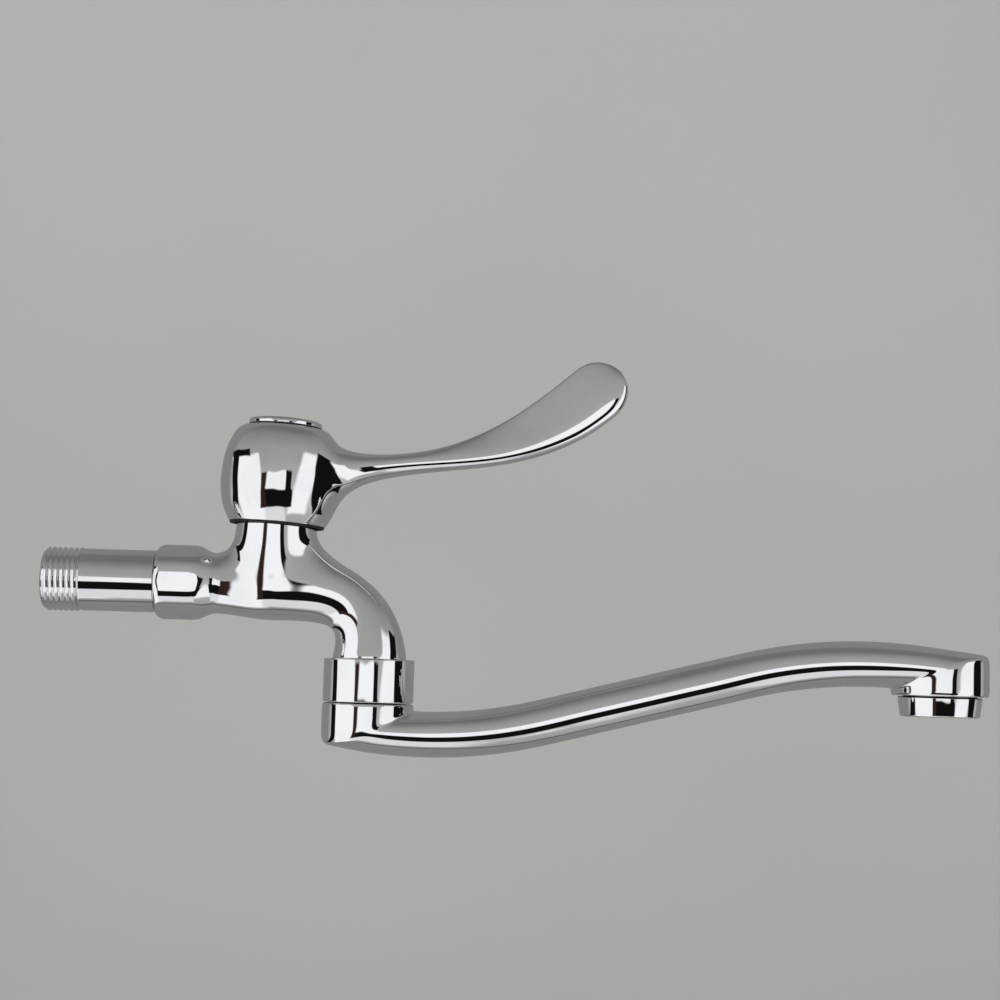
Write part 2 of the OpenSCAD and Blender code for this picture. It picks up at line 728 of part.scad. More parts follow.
module handle() {
    color(chrome) difference() {
        union() {
            dome();
            lever();
        }
        on_valve_axis(0) {
            difference() {
                rotate_extrude() polygon([
                    [0, dome_rim - 20],
                    [dome_hollow_d / 2, dome_rim - 20],
                    [dome_hollow_d / 2, hollow_top - 4],
                    [dome_hollow_d / 2 - 3, hollow_top],
                    [0, hollow_top]
                ]);
                translate([0, 0, hub_base]) cylinder(d = hub_d, h = dome_h);
            }
            translate([0, 0, hub_base - 1])
                linear_extrude(handle_floor_base - hub_base + 1) spline_outline(spline_r + 0.05);
            translate([0, 0, handle_floor_base - 1]) cylinder(d = screw_d + 0.6, h = handle_floor_t + 2);
            translate([0, 0, recess_floor]) cylinder(d = cap_recess_d, h = dome_h);
        }
    }
}

module handle_screw() {
    color(steel) on_valve_axis(recess_floor) difference() {
        union() {
            cylinder(d = screw_head_d, h = screw_head_h);
            translate([0, 0, -handle_floor_t - screw_reach])
                cylinder(d = screw_d, h = handle_floor_t + screw_reach + 0.5);
        }
        for (turn = [0, 90])
            rotate([0, 0, turn]) translate([-screw_head_d / 3, -0.5, screw_head_h - 1.2])
                cube([screw_head_d * 2 / 3, 1, 2]);
    }
}

module index_cap() {
    edge_round = 0.8;
    cap_r = cap_d / 2;
    plug_r = cap_recess_d / 2 - 0.1;
    color(chrome) on_valve_axis(dome_top) rotate_extrude() polygon(concat(
        [
            [0, 0.2],
            [plug_r - 1.4, 0.2],
            [plug_r - 1.4, -cap_plug_len],
            [plug_r, -cap_plug_len],
            [plug_r, 0],
            [cap_r - 0.5, 0],
            [cap_r, 0.5]
        ],
        [
            for (a = [0 : 15 : 90])
                [cap_r - edge_round * (1 - cos(a)), cap_edge_t - edge_round * (1 - sin(a))]
        ],
        [
            for (i = [1 : 6])
                let (t = 1 - i / 6)
                [(cap_r - edge_round) * t, cap_edge_t + cap_crown * (1 - t * t)]
        ]
    ));
}

// Swivel joint

module swivel_nut() {
    nut_r = nut_d / 2;
    chamfer = 0.5;
    throat_r = shank_d / 2 + shank_gap;
    thread_r = tail_end_d / 2 + thread_gap;
    color(chrome) on_swivel_axis(0) rotate_extrude() polygon([
        [throat_r, nut_bottom_z],
        [nut_r - chamfer, nut_bottom_z],
        [nut_r, nut_bottom_z + chamfer],
        [nut_r, nut_top_z - chamfer],
        [nut_r - chamfer, nut_top_z],
        [thread_r, nut_top_z],
        [thread_r, flange_top_z],
        [throat_r, flange_top_z]
    ]);
}

module swivel_washer() {
    color(white_plastic) on_swivel_axis(washer_bottom_z)
        washer(tail_end_d - 0.4, shank_d + 2 * shank_gap, swivel_washer_t);
}

module retaining_ring() {
    gap_w = 3;
    color(brass) on_swivel_axis(ring_bottom_z) difference() {
        washer(retaining_ring_d, ring_groove_d + 0.2, retaining_ring_t);
        translate([0, -gap_w / 2, -1]) cube([retaining_ring_d, gap_w, retaining_ring_t + 2]);
    }
}

module spout_orings() {
    outer = tail_bore_d - 0.1;
    color(rubber) for (z = shank_ring_heights)
        on_swivel_axis(z) o_ring(outer - 2 * shank_ring_t, shank_ring_t);
}

// Swing spout: shank, foot, bent tube and outlet boss

// Centre and slope of the tube at a distance from the swivel axis
function tube_place(out) =
    let (
        lower_end = low_point_out + lower_bend_r * sin(tube_slope),
        upper_start = spout_reach - high_point_back - upper_bend_r * sin(tube_slope),
        lower = asin((min(out, lower_end) - low_point_out) / lower_bend_r),
        upper = asin((spout_reach - high_point_back - max(out, upper_start)) / upper_bend_r),
        straight = max(0, min(out, upper_start) - lower_end) * tan(tube_slope)
    )
    out < upper_start
        ? [[swivel_x + out, low_z + lower_bend_r * (1 - cos(lower)) + straight], lower]
        : [[swivel_x + out, high_z - upper_bend_r * (1 - cos(upper))], upper];

// Half width of the tube, which flares towards the foot and towards the boss
flare_power = 1.25;
function tube_half_w(out) =
    let (
        foot_flare = pow(max(0, 1 - out / tube_taper_len), flare_power),
        boss_flare = pow(max(0, 1 - (spout_reach - out) / tube_taper_len), flare_power)
    )
    out < 0
        ? sqrt(pow(foot_d / 2 - flare_inset, 2) - out * out)
        : tube_d / 2 + (foot_d / 2 - flare_inset - tube_d / 2) * foot_flare
            + (boss_d / 2 - flare_inset - tube_d / 2) * boss_flare;
// Half height of the tube, whose blind end fades into the foot's underside
function tube_half_h(out) = tube_d / 2 - keel_fade * smooth(-out / keel_len);
tube_stations = concat(
    [for (i = [0 : keel_steps - 1]) -keel_len * (1 - i / keel_steps)],
    [for (i = [0 : flare_steps - 1]) tube_taper_len * i / flare_steps],
    [
        for (i = [0 : bend_steps - 1])
            tube_taper_len + (spout_reach - 2 * tube_taper_len) * i / bend_steps
    ],
    [for (i = [0 : flare_steps]) spout_reach - tube_taper_len * (1 - i / flare_steps)]
);

module tube() {
    skin([
        for (out = tube_stations)
            let (place = tube_place(out))
            ring(place[0], place[1], tube_half_w(out), tube_half_h(out), 0, 36)
    ]);
}

module tube_bore() {
    skin([
        for (i = [0 : bore_steps])
            let (place = tube_place(spout_reach * i / bore_steps))
            ring(place[0], place[1], tube_bore_d / 2, tube_bore_d / 2, 0, 18)
    ]);
}

// Upright stub cut by a slanted puck that rounds its lower edge, or its upper one when turned over
module rounded_stub(d_low, d_high, h, slant, edge_r) {
    puck_r = d_low / 2 + 0.6;
    deep = 2 * d_low;
    intersection() {
        union() {
            translate([0, 0, -deep]) cylinder(d = d_low, h = deep + 0.01);
            cylinder(d1 = d_low, d2 = d_high, h = h);
        }
        rotate([0, slant, 0]) rotate_extrude() polygon(concat(
            [[0, 0]],
            [for (a = [0 : 15 : 90]) [puck_r - edge_r * (1 - sin(a)), edge_r * (1 - cos(a))]],
            [[puck_r + 0.2 * deep, deep], [0, deep]]
        ));
    }
}

// Foot: its underside slants as the tube's lower bend does there
module foot() {
    half = foot_d / 2;
    left_z = tube_place(-half)[0][1];
    right_z = tube_place(half)[0][1];
    bottom_z = (left_z + right_z - tube_d) / 2;
    slant = atan((left_z - right_z) / foot_d);
    on_swivel_axis(bottom_z)
        rounded_stub(foot_d + 2 * foot_draft, foot_d, foot_top_z - bottom_z, slant, foot_round);
}

// Outlet boss: its top slants as the tube's upper bend does there
module boss() {
    crown_z = outlet_centre_z + tube_d / 2 / cos(outlet_angle) + flare_inset;
    on_outlet_axis(crown_z) mirror([0, 0, 1])
        rounded_stub(boss_d, boss_d, crown_z - boss_bottom_z, -boss_slant * outlet_angle, boss_round);
}

module shank() {
    groove_h = shank_ring_t + 0.3;
    groove_d = tail_bore_d - 0.1 - 2 * shank_ring_t;
    on_swivel_axis(0) difference() {
        translate([0, 0, foot_top_z - 1]) cylinder(d = shank_d, h = shank_len + 1);
        for (z = shank_ring_heights)
            translate([0, 0, z - groove_h / 2]) washer(shank_d + 1, groove_d, groove_h);
        translate([0, 0, ring_bottom_z - 0.05])
            washer(shank_d + 1, ring_groove_d, retaining_ring_t + 0.1);
    }
}

module spout() {
    foot_centre_z = low_z + lower_bend_r * (1 - cos(foot_angle));
    color(chrome) difference() {
        union() {
            shank();
            foot();
            tube();
            boss();
        }
        on_swivel_axis(foot_centre_z) cylinder(d = shank_bore_d, h = shank_top_z - foot_centre_z + 1);
        on_swivel_axis(foot_centre_z) sphere(d = tube_bore_d + corner_swell);
        tube_bore();
        on_outlet_axis(boss_bottom_z - 1)
            cylinder(d = aerator_thread_d + 2 * thread_gap, h = aerator_seat_z - boss_bottom_z + 1);
        on_outlet_axis(boss_bottom_z) cylinder(d = aerator_bore_d - 2, h = outlet_centre_z - boss_bottom_z);
        on_outlet_axis(outlet_centre_z) sphere(d = tube_bore_d + corner_swell);
    }
}

// Aerator

module aerator_housing() {
    collar_r = aerator_d / 2;
    chamfer = 0.6;
    color(chrome) on_outlet_axis(0) rotate_extrude() polygon([
        [aerator_lip_d / 2, aerator_bottom_z],
        [collar_r - chamfer, aerator_bottom_z],
        [collar_r, aerator_bottom_z + chamfer],
        [collar_r, aerator_top_z - chamfer],
        [collar_r - chamfer, aerator_top_z],
        [aerator_thread_d / 2, aerator_top_z],
        [aerator_thread_d / 2, aerator_thread_top_z],
        [aerator_bore_d / 2, aerator_thread_top_z],
        [aerator_bore_d / 2, aerator_lip_z],
        [aerator_lip_d / 2, aerator_lip_z]
    ]);
}

module aerator_washer() {
    color(rubber) on_outlet_axis(aerator_thread_top_z)
        washer(aerator_thread_d - 0.4, aerator_bore_d - 1.6, aerator_washer_t);
}

// Holes on rings round the outlet axis
module hole_rings(pitch, rings, d, h, sides) {
    for (k = [0 : rings], i = [0 : max(0, 6 * k - 1)])
        rotate([0, 0, k == 0 ? 0 : 60 * i / k]) translate([pitch * k, 0, -1])
            cylinder(d = d, h = h, $fn = sides);
}

module aerator_strainer() {
    color(steel) on_outlet_axis(aerator_thread_top_z - strainer_t) difference() {
        cylinder(d = aerator_bore_d - 0.2, h = strainer_t);
        hole_rings(2.6, 3, 1.4, strainer_t + 2, 24);
    }
}

module aerator_insert() {
    insert_top_z = aerator_thread_top_z - strainer_t;
    plate_t = 1.6;
    wall = 1.2;
    insert_d = aerator_bore_d - 0.2;
    color(white_plastic) on_outlet_axis(insert_base_z) difference() {
        cylinder(d = insert_d, h = insert_top_z - insert_base_z);
        translate([0, 0, -1]) cylinder(d = insert_d - 2 * wall, h = insert_top_z - insert_base_z - plate_t);
        translate([0, 0, insert_top_z - insert_base_z - plate_t - 1])
            hole_rings(3.2, 2, 1.2, plate_t + 4, 24);
    }
}

module aerator_mesh() {
    color(steel) on_outlet_axis(aerator_lip_z) difference() {
        cylinder(d = aerator_bore_d - 0.2, h = mesh_t);
        hole_rings(2, 4, 1.7, mesh_t + 2, 6);
    }
}

inlet_nipple();
nipple_gasket();
tap_body();
cartridge_housing();
housing_gasket();
seat_gasket();
fixed_disc();
rotating_disc();
slip_washer();
spindle();
spindle_orings();
spindle_clip();
handle();
handle_screw();
index_cap();
swivel_nut();
swivel_washer();
retaining_ring();
spout_orings();
spout();
aerator_housing();
aerator_washer();
aerator_strainer();
aerator_insert();
aerator_mesh();
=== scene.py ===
import json
import math

import bmesh
import bpy
from mathutils import Matrix, Vector


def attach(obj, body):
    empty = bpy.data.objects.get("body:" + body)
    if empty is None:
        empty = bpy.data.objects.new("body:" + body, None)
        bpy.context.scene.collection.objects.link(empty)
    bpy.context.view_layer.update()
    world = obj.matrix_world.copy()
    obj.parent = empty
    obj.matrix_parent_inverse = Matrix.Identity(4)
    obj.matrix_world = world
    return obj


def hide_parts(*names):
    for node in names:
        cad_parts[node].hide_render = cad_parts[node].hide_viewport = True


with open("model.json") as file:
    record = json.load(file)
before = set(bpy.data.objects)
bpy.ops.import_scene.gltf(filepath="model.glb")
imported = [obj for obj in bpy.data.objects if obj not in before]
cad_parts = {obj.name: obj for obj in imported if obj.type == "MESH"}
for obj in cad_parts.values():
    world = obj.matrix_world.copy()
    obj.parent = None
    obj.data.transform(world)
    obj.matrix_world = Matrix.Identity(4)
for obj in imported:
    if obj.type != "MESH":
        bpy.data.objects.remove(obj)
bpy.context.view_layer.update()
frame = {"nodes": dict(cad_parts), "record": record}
scene = bpy.context.scene

# Sizes of the tap in millimetres. They are those of the part's source, apart from CHAMBER_SWELL and
# NECK_BLEND_TOP, which give a flatter chamber and a longer blend into the neck.
MM = 0.001
THREAD_R, THREAD_ROOT_R, THREAD_LEN, THREAD_PITCH = 10.4775, 9.32, 12.0, 1.814
PIPE_R, PIPE_LEN, PIPE_BORE_R = 10.2, 25.0, 6.5
SPIGOT_R, SPIGOT_LEN = 8.4, 9.0
HEX_CORNER_R, HEX_CORNER_TURN = 12.75, 4.5
SOCKET_R, SOCKET_END_X, INLET_WAY_R, INLET_WAY_END_X = 8.5, 35.5, 6.0, 42.0
WAIST_R, BARREL_R, CHAMBER_SWELL, CHAMBER_RUN = 9.9, 11.6, 1.6, 10.0
WAIST_X, VALVE_X, SWIVEL_X, OUTLET_X = 44.5, 62.6, 95.7, 283.5
VALVE_LEAN = math.radians(2.8)
NECK_R, NECK_TOP, NECK_BLEND_TOP = 13.1, 23.0, 20.4
HEADWORK_BORE_R, HEADWORK_THREAD_BASE, SEAT_R, SEAT_H = 10.4, 14.0, 8.9, 3.0
TAIL_R, TAIL_END_R, TAIL_BORE_R = 9.7, 12.0, 8.6
TAIL_END_Z, TAIL_BORE_TOP_Z = -32.1, -18.35
NUT_R, NUT_TOP_Z, NUT_BOTTOM_Z, NUT_FLANGE_T = 14.85, -23.5, -37.6, 2.9
DOME_RIM, DOME_H, DOME_BELLY_H = 20.1, 32.2, 14.9
DOME_R, DOME_RIM_R, DOME_CROWN_R = 19.9, 15.9, 12.7
DOME_HOLLOW_R, DOME_SHOULDER, DOME_HOLLOW_TOP, DOME_SHOULDER_W = 14.4, 38.9, 42.9, 3.0
HUB_R, HUB_BASE, SPLINE_R, SPLINE_TOP = 7.2, 35.3, 4.1, 44.5
LEVER_REACH, LEVER_ROOT, LEVER_RISE = 109.2, 39.7, 40.6
LEVER_NECK_H, LEVER_NECK_T, LEAF_H, LEAF_T = 6.9, 7.6, 20.0, 6.6
ROOT_FLARE_H, ROOT_FLARE_W, FLARE_FADE, SIDE_FLARE_FADE = 25.0, 20.0, 0.058, 0.075
CAP_R, CAP_EDGE_T, CAP_CROWN, CAP_PLUG_LEN = 12.15, 2.2, 1.1, 2.4
CAP_RECESS_R, CAP_RECESS_FLOOR, SCREW_HEAD_R = 9.5, 47.3, 5.0
FOOT_TOP_Z, FOOT_R, FOOT_BORE_DEPTH = -37.95, 15.0, 6.0
SHANK_R, SHANK_TOP_Z, SHANK_BORE_R = 8.3, -19.35, 5.8
RING_GROOVE_LOW_Z, RING_GROOVE_TOP_Z, RING_GROOVE_DEPTH = -34.65, -33.15, 1.0
TUBE_R, TUBE_SLOPE, TUBE_TAPER, TUBE_FLARE_POWER = 7.5, math.radians(14.5), 68.0, 1.25
LOW_OUT, LOW_Z, LOW_BEND_R = 18.8, -47.55, 150.0
HIGH_BACK, HIGH_BEND_R, SPOUT_REACH = 24.5, 155.0, 187.8
BOSS_R, BOSS_DROP, BOSS_SLANT = 15.9, 9.9, math.radians(6.8)
BOSS_BORE_DEPTH, BOSS_WAY_R = 7.2, 8.5
AERATOR_R, AERATOR_H, AERATOR_GAP = 13.75, 6.5, 0.3
AERATOR_THREAD_R, AERATOR_THREAD_LEN = 12.0, 6.0

ON_INLET = Matrix.Rotation(math.radians(90), 4, "Y")
ON_VALVE = Matrix.Translation((VALVE_X * MM, 0, 0)) @ Matrix.Rotation(VALVE_LEAN, 4, "Y")
TO_VALVE = ON_VALVE.inverted()
ON_SWIVEL = Matrix.Translation((SWIVEL_X * MM, 0, 0))
ON_OUTLET = Matrix.Translation((OUTLET_X * MM, 0, 0))


def smooth(t):
    u = min(max(t, 0.0), 1.0)
    return u * u * (3 - 2 * u)


def mix(a, b, t):
    return a + (b - a) * t


def bezier(p, t):
    return [(1 - t) ** 3 * a + 3 * (1 - t) ** 2 * t * b + 3 * (1 - t) * t * t * c + t ** 3 * d
            for a, b, c, d in zip(*p)]


def bezier_slope(p, t):
    along, up = [(1 - t) ** 2 * (b - a) + 2 * (1 - t) * t * (c - b) + t * t * (d - c)
                 for a, b, c, d in zip(*p)]
    return math.atan2(up, along)


def share_reaching(mark, measure):
    """Share from 0 to 1 at which a growing measure reaches the mark, found by halving."""
    low, high = 0.0, 1.0
    for _ in range(40):
        middle = (low + high) / 2
        low, high = (middle, high) if measure(middle) < mark else (low, middle)
    return high


def swell(count):
    """How much wider a ring of control points is than the round surface that it gives."""
    return 3 / (2 + math.cos(2 * math.pi / count))


def on_valve(turn, radius, height):
    """Point about the leaning valve axis."""
    return ON_VALVE @ (Vector((radius * math.cos(turn), radius * math.sin(turn), height)) * MM)


# Mesh helpers

SPOT, CREASE = "spot", "crease_edge"
# Material slots: the plated skin, and inside faces whose near-black finish is painted shade
PLATED, INSIDE = 0, 1
MERGE_DIST = 1e-6


def spot_layer(bm):
    return bm.verts.layers.int.get(SPOT) or bm.verts.layers.int.new(SPOT)


def first_ring(bm, count, place):
    """Ring of numbered vertices, each where place says."""
    bm.edges.layers.float.new(CREASE)
    spot = spot_layer(bm)
    made = bmesh.ops.create_circle(bm, segments=count, radius=1.0)["verts"]
    for number, vert in enumerate(made):
        vert[spot] = number
        vert.co = place(number)
    return bm.edges[:]


def pull(bm, rim, place, crease=0.0, finish=PLATED):
    """Pulls an open rim out by one row and puts each new vertex where place says, by its number."""
    spot = spot_layer(bm)
    made = bmesh.ops.extrude_edge_only(bm, edges=rim)["geom"]
    fresh = {g for g in made if isinstance(g, bmesh.types.BMVert)}
    for vert in fresh:
        vert.co = place(vert[spot])
    for face in {f for vert in fresh for f in vert.link_faces}:
        face.material_index = finish
    rim = [g for g in made if isinstance(g, bmesh.types.BMEdge) and set(g.verts) <= fresh]
    if crease:
        crease_layer = bm.edges.layers.float[CREASE]
        for edge in rim:
            edge[crease_layer] = crease
    return rim


def close_rim(bm, rim, finish=PLATED):
    for face in bmesh.ops.holes_fill(bm, edges=rim, sides=0)["faces"]:
        face.material_index = finish


def run_in(bm, rim, place, rows):
    """Runs an open rim through rows of (radius, height, crease, finish) and closes the last one.
    place gives a point by its number, radius and height."""
    for radius, height, crease, finish in rows:
        rim = pull(bm, rim, lambda n: place(n, radius, height), crease, finish)
    close_rim(bm, rim, INSIDE)


def number_rim(bm, rim, first, turn_of):
    """Numbers a rim's vertices from first on, and returns each one's turn about its axis."""
    spot = spot_layer(bm)
    turns = {}
    for number, vert in enumerate({v for e in rim for v in e.verts}, first):
        vert[spot] = number
        turns[number] = turn_of(vert.co)
    return turns


def hole_rim(bm):
    """Open edges between numbered vertices."""
    spot = spot_layer(bm)
    return [e for e in bm.edges if e.is_boundary and all(v[spot] >= 0 for v in e.verts)]


EASE_LINES, EASE_ROUNDS = 3, 12


def holed_sheet(columns, rows, hole_columns, hole_rows, oval):
    """Flat sheet with one oval hole, whose edge is numbered from its right-hand middle round.
    columns and rows are the sheet's lines in millimetres, hole_columns and hole_rows the hole's
    first and last line, and oval gives a place on the hole's edge by its turn in radians."""
    bm = bmesh.new()
    bm.edges.layers.float.new(CREASE)
    spot = spot_layer(bm)
    across, along = len(columns) - 1, len(rows) - 1
    bmesh.ops.create_grid(bm, x_segments=across, y_segments=along, size=0.5)
    lines = {}
    for vert in bm.verts:
        i, j = round((vert.co.x + 0.5) * across), round((vert.co.y + 0.5) * along)
        lines[vert] = (i, j)
        vert.co = (columns[i], rows[j], 0)
        vert[spot] = -1
    (i0, i1), (j0, j1) = hole_columns, hole_rows
    wide, tall = i1 - i0, j1 - j0
    total = 2 * (wide + tall)
    covered = [f for f in bm.faces if all(i0 <= lines[v][0] <= i1 and j0 <= lines[v][1] <= j1
                                          for v in f.verts)]
    near = []
    for vert, (i, j) in lines.items():
        if i0 < i < i1 and j0 < j < j1:
            continue
        if not (i0 <= i <= i1 and j0 <= j <= j1):
            if (i0 - EASE_LINES < i < i1 + EASE_LINES) and (j0 - EASE_LINES < j < j1 + EASE_LINES):
                near.append(vert)
            continue
        if i == i1:
            step = j - j0
        elif j == j1:
            step = tall + i1 - i
        elif i == i0:
            step = tall + wide + j1 - j
        else:
            step = 2 * tall + wide + i - i0
        step -= tall // 2
        vert[spot] = step % total
        vert.co = (*oval(2 * math.pi * step / total), 0)
    bmesh.ops.delete(bm, geom=covered, context="FACES")
    for _ in range(EASE_ROUNDS):
        bmesh.ops.smooth_vert(bm, verts=near, factor=0.5, use_axis_x=True, use_axis_y=True)
    return bm


def show(name, bm, body, slot, replaced, levels=0, sharp=None):
    """Makes the finished piece: smooth faces, sharp edges by angle, finish, body and slot."""
    bmesh.ops.recalc_face_normals(bm, faces=bm.faces[:])
    for face in bm.faces:
        face.smooth = True
    if sharp:
        for edge in bm.edges:
            if len(edge.link_faces) == 2 and edge.calc_face_angle(0.0) > math.radians(sharp):
                edge.smooth = False
    mesh = bpy.data.meshes.new(name)
    bm.to_mesh(mesh)
    bm.free()
    mesh.materials.append(FINISHES[slot])
    if any(face.material_index == INSIDE for face in mesh.polygons):
        mesh.materials.append(UNPLATED_SHADED)
    obj = bpy.data.objects.new(name, mesh)
    scene.collection.objects.link(obj)
    if levels:
        rounding = obj.modifiers.new("rounding", "SUBSURF")
        rounding.levels = rounding.render_levels = levels
    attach(obj, body)
    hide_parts(replaced)


def turned(corners, steps=128, inside_r=0.0):
    """Turns an outline of (radius, height, rounding) corners in millimetres about Z.
    Faces nearer to the axis than inside_r are left unplated, in the near-black inside finish that
    is painted shade."""
    bm = bmesh.new()
    verts = [bm.verts.new((r * MM, 0, h * MM)) for r, h, _ in corners]
    on_axis = corners[0][0] == 0 and corners[-1][0] == 0
    for a, b in zip(verts, verts[1:] + ([] if on_axis else verts[:1])):
        bm.edges.new((a, b))
    for vert, (_, _, rounding) in zip(verts, corners):
        if rounding:
            bmesh.ops.bevel(bm, geom=[vert], offset=rounding * MM, offset_type="OFFSET", segments=5,
                            profile=0.5, affect="VERTICES", material=-1, clamp_overlap=True)
    bmesh.ops.spin(bm, geom=bm.verts[:] + bm.edges[:], cent=(0, 0, 0), axis=(0, 0, 1),
                   dvec=(0, 0, 0), angle=2 * math.pi, steps=steps, use_merge=True)
    bmesh.ops.remove_doubles(bm, verts=bm.verts[:], dist=MERGE_DIST / 10)
    bmesh.ops.recalc_face_normals(bm, faces=bm.faces[:])
    for face in bm.faces:
        middle = face.calc_center_median()
        if math.hypot(middle.x, middle.y) < inside_r * MM:
            face.material_index = INSIDE
    return bm


def joined(base, tool, operation):
    """The union, difference or intersection of two closed meshes."""
    pair = []
    for bm in (base, tool):
        mesh = bpy.data.meshes.new("blank")
        bm.to_mesh(mesh)
        bm.free()
        pair.append(bpy.data.objects.new("blank", mesh))
        scene.collection.objects.link(pair[-1])
    step = pair[0].modifiers.new("join", "BOOLEAN")
    step.operation, step.solver, step.object = operation, "EXACT", pair[1]
    shape = pair[0].evaluated_get(bpy.context.evaluated_depsgraph_get())
    result = bmesh.new()
    result.from_mesh(shape.to_mesh())
    shape.to_mesh_clear()
    for obj in pair:
        mesh = obj.data
        bpy.data.objects.remove(obj)
        bpy.data.meshes.remove(mesh)
    return result


# Node helpers

def feed(tree, socket, value):
    """Sets an input to a plain value, or links it to another node's output."""
    if isinstance(value, bpy.types.NodeSocket):
        tree.links.new(value, socket)
    else:
        socket.default_value = value


def node(tree, kind, **values):
    """Adds a node. Each value goes to the input of that name, with a space for an underscore,
    or else to the node's own setting."""
    made = tree.nodes.new(kind)
    for key, value in values.items():
        name = key.replace("_", " ")
        if name in made.inputs:
            feed(tree, made.inputs[name], value)
        else:
            setattr(made, key, value)
    return made


def reckon(tree, kind, operation, *values):
    """Result of a Math or Vector Math node whose inputs are fed in their order."""
    made = node(tree, kind, operation=operation)
    for socket, value in zip(made.inputs, values):
        feed(tree, socket, value)
    return made.outputs[0]


def colour_mix(tree, share, first, second):
    """Colour between two, each a plain colour or another node's output, by a share from 0 to 1."""
    made = node(tree, "ShaderNodeMix", data_type="RGBA")
    feed(tree, made.inputs["Factor"], share)
    for name, value in (("A", first), ("B", second)):
        feed(tree, made.inputs[name], (*value, 1) if isinstance(value, tuple) else value)
    return made.outputs["Result"]


def float_group(name, inputs, outputs):
    """Node group whose sockets are all plain values, with its inputs' defaults."""
    group = bpy.data.node_groups.new(name, "ShaderNodeTree")
    for label, value in inputs.items():
        made = group.interface.new_socket(name=label, in_out="INPUT", socket_type="NodeSocketFloat")
        made.default_value = value
    for label in outputs:
        group.interface.new_socket(name=label, in_out="OUTPUT", socket_type="NodeSocketFloat")
    given, result = group.nodes.new("NodeGroupInput"), group.nodes.new("NodeGroupOutput")
    return group, given.outputs, result.inputs


# Finishes

SMEAR_SIZE, WAVE_SIZE = 60.0, 45.0
SCRATCH_TURN, SCRATCH_STRETCH = (0.5, 0.3, 0.9), (120.0, 1600.0, 900.0)
SCRATCH_DULLS = 0.04


def handling_group():
    """Faint smears, fine hairline scratches and slow waves that handling and polishing leave."""
    sizes = {"Smear Size": SMEAR_SIZE, "Wave Size": WAVE_SIZE}
    group, given, result = float_group("handling", sizes, ("Smear", "Scratch", "Wave"))
    place = group.nodes.new("ShaderNodeTexCoord").outputs["Object"]
    smear = node(group, "ShaderNodeTexNoise", Vector=place, Scale=given["Smear Size"],
                 Detail=5.0, Roughness=0.62, Distortion=0.4)
    spread = node(group, "ShaderNodeMapRange", interpolation_type="SMOOTHSTEP",
                  Value=smear.outputs["Fac"], From_Min=0.42, From_Max=0.72)
    stretch = node(group, "ShaderNodeMapping", Vector=place, Rotation=SCRATCH_TURN,
                   Scale=SCRATCH_STRETCH)
    hair = node(group, "ShaderNodeTexNoise", Vector=stretch.outputs["Vector"], Scale=1.0,
                Detail=2.0, Roughness=0.5)
    fine = node(group, "ShaderNodeMapRange", interpolation_type="SMOOTHSTEP",
                Value=hair.outputs["Fac"], From_Min=0.66, From_Max=0.78)
    wave = node(group, "ShaderNodeTexNoise", Vector=place, Scale=given["Wave Size"],
                Detail=1.0, Roughness=0.4)
    feed(group, result["Smear"], spread.outputs["Result"])
    feed(group, result["Scratch"], fine.outputs["Result"])
    feed(group, result["Wave"], wave.outputs["Fac"])
    return group


HANDLING = handling_group()


def finish_material(name, metallic, light, dark, roughness, wave_mm):
    """A finish whose colour and roughness follow the smears and whose surface waves by wave_mm."""
    material = bpy.data.materials.new(name)
    material.use_nodes = True
    tree = material.node_tree
    shader = tree.nodes["Principled BSDF"]
    marks = node(tree, "ShaderNodeGroup", node_tree=HANDLING, Smear_Size=SMEAR_SIZE).outputs
    rough = node(tree, "ShaderNodeMapRange", Value=marks["Smear"],
                 To_Min=roughness[0], To_Max=roughness[1]).outputs["Result"]
    bump = node(tree, "ShaderNodeBump", Strength=1.0, Distance=wave_mm * MM, Height=marks["Wave"])
    feed(tree, shader.inputs["Metallic"], metallic)
    feed(tree, shader.inputs["Base Color"], colour_mix(tree, marks["Smear"], light, dark))
    feed(tree, shader.inputs["Roughness"],
         reckon(tree, "ShaderNodeMath", "MULTIPLY_ADD", marks["Scratch"], SCRATCH_DULLS, rough))
    feed(tree, shader.inputs["Normal"], bump.outputs["Normal"])
    return material


def chrome(name, roughness, wave_mm):
    return finish_material(name, 1.0, (0.82, 0.83, 0.84), (0.76, 0.77, 0.78), roughness, wave_mm)


BRIGHT = (0.015, 0.05)
FINISHES = {
    "chrome_casting": chrome("chrome_on_casting", BRIGHT, 0.10),
    "chrome_handle": chrome("chrome_on_handle", BRIGHT, 0.08),
    "chrome_pipe": chrome("chrome_on_pipe", (0.03, 0.08), 0.04),
    "chrome_cap": chrome("chrome_on_cap", BRIGHT, 0.02),
    "chrome_turned": chrome("chrome_on_turned_brass", BRIGHT, 0.02),
    "bare_brass": finish_material("machined_brass", 1.0, (0.78, 0.60, 0.28), (0.60, 0.44, 0.20),
                                  (0.22, 0.42), 0.02),
    "spring_steel": finish_material("stainless_steel", 1.0, (0.62, 0.63, 0.65), (0.50, 0.51, 0.53),
                                    (0.2, 0.4), 0.02),
    "disc_ceramic": finish_material("lapped_ceramic", 0.0, (0.93, 0.92, 0.88), (0.86, 0.85, 0.81),
                                    (0.12, 0.3), 0.01),
    "white_plastic": finish_material("moulded_white", 0.0, (0.88, 0.88, 0.86), (0.80, 0.80, 0.78),
                                     (0.35, 0.5), 0.02),
    "black_rubber": finish_material("moulded_rubber", 0.0, (0.03, 0.03, 0.032), (0.05, 0.05, 0.05),
                                    (0.5, 0.75), 0.04),
    "fibre_gasket": finish_material("pressed_fibre", 0.0, (0.30, 0.12, 0.08), (0.22, 0.08, 0.05),
                                    (0.6, 0.85), 0.06),
}
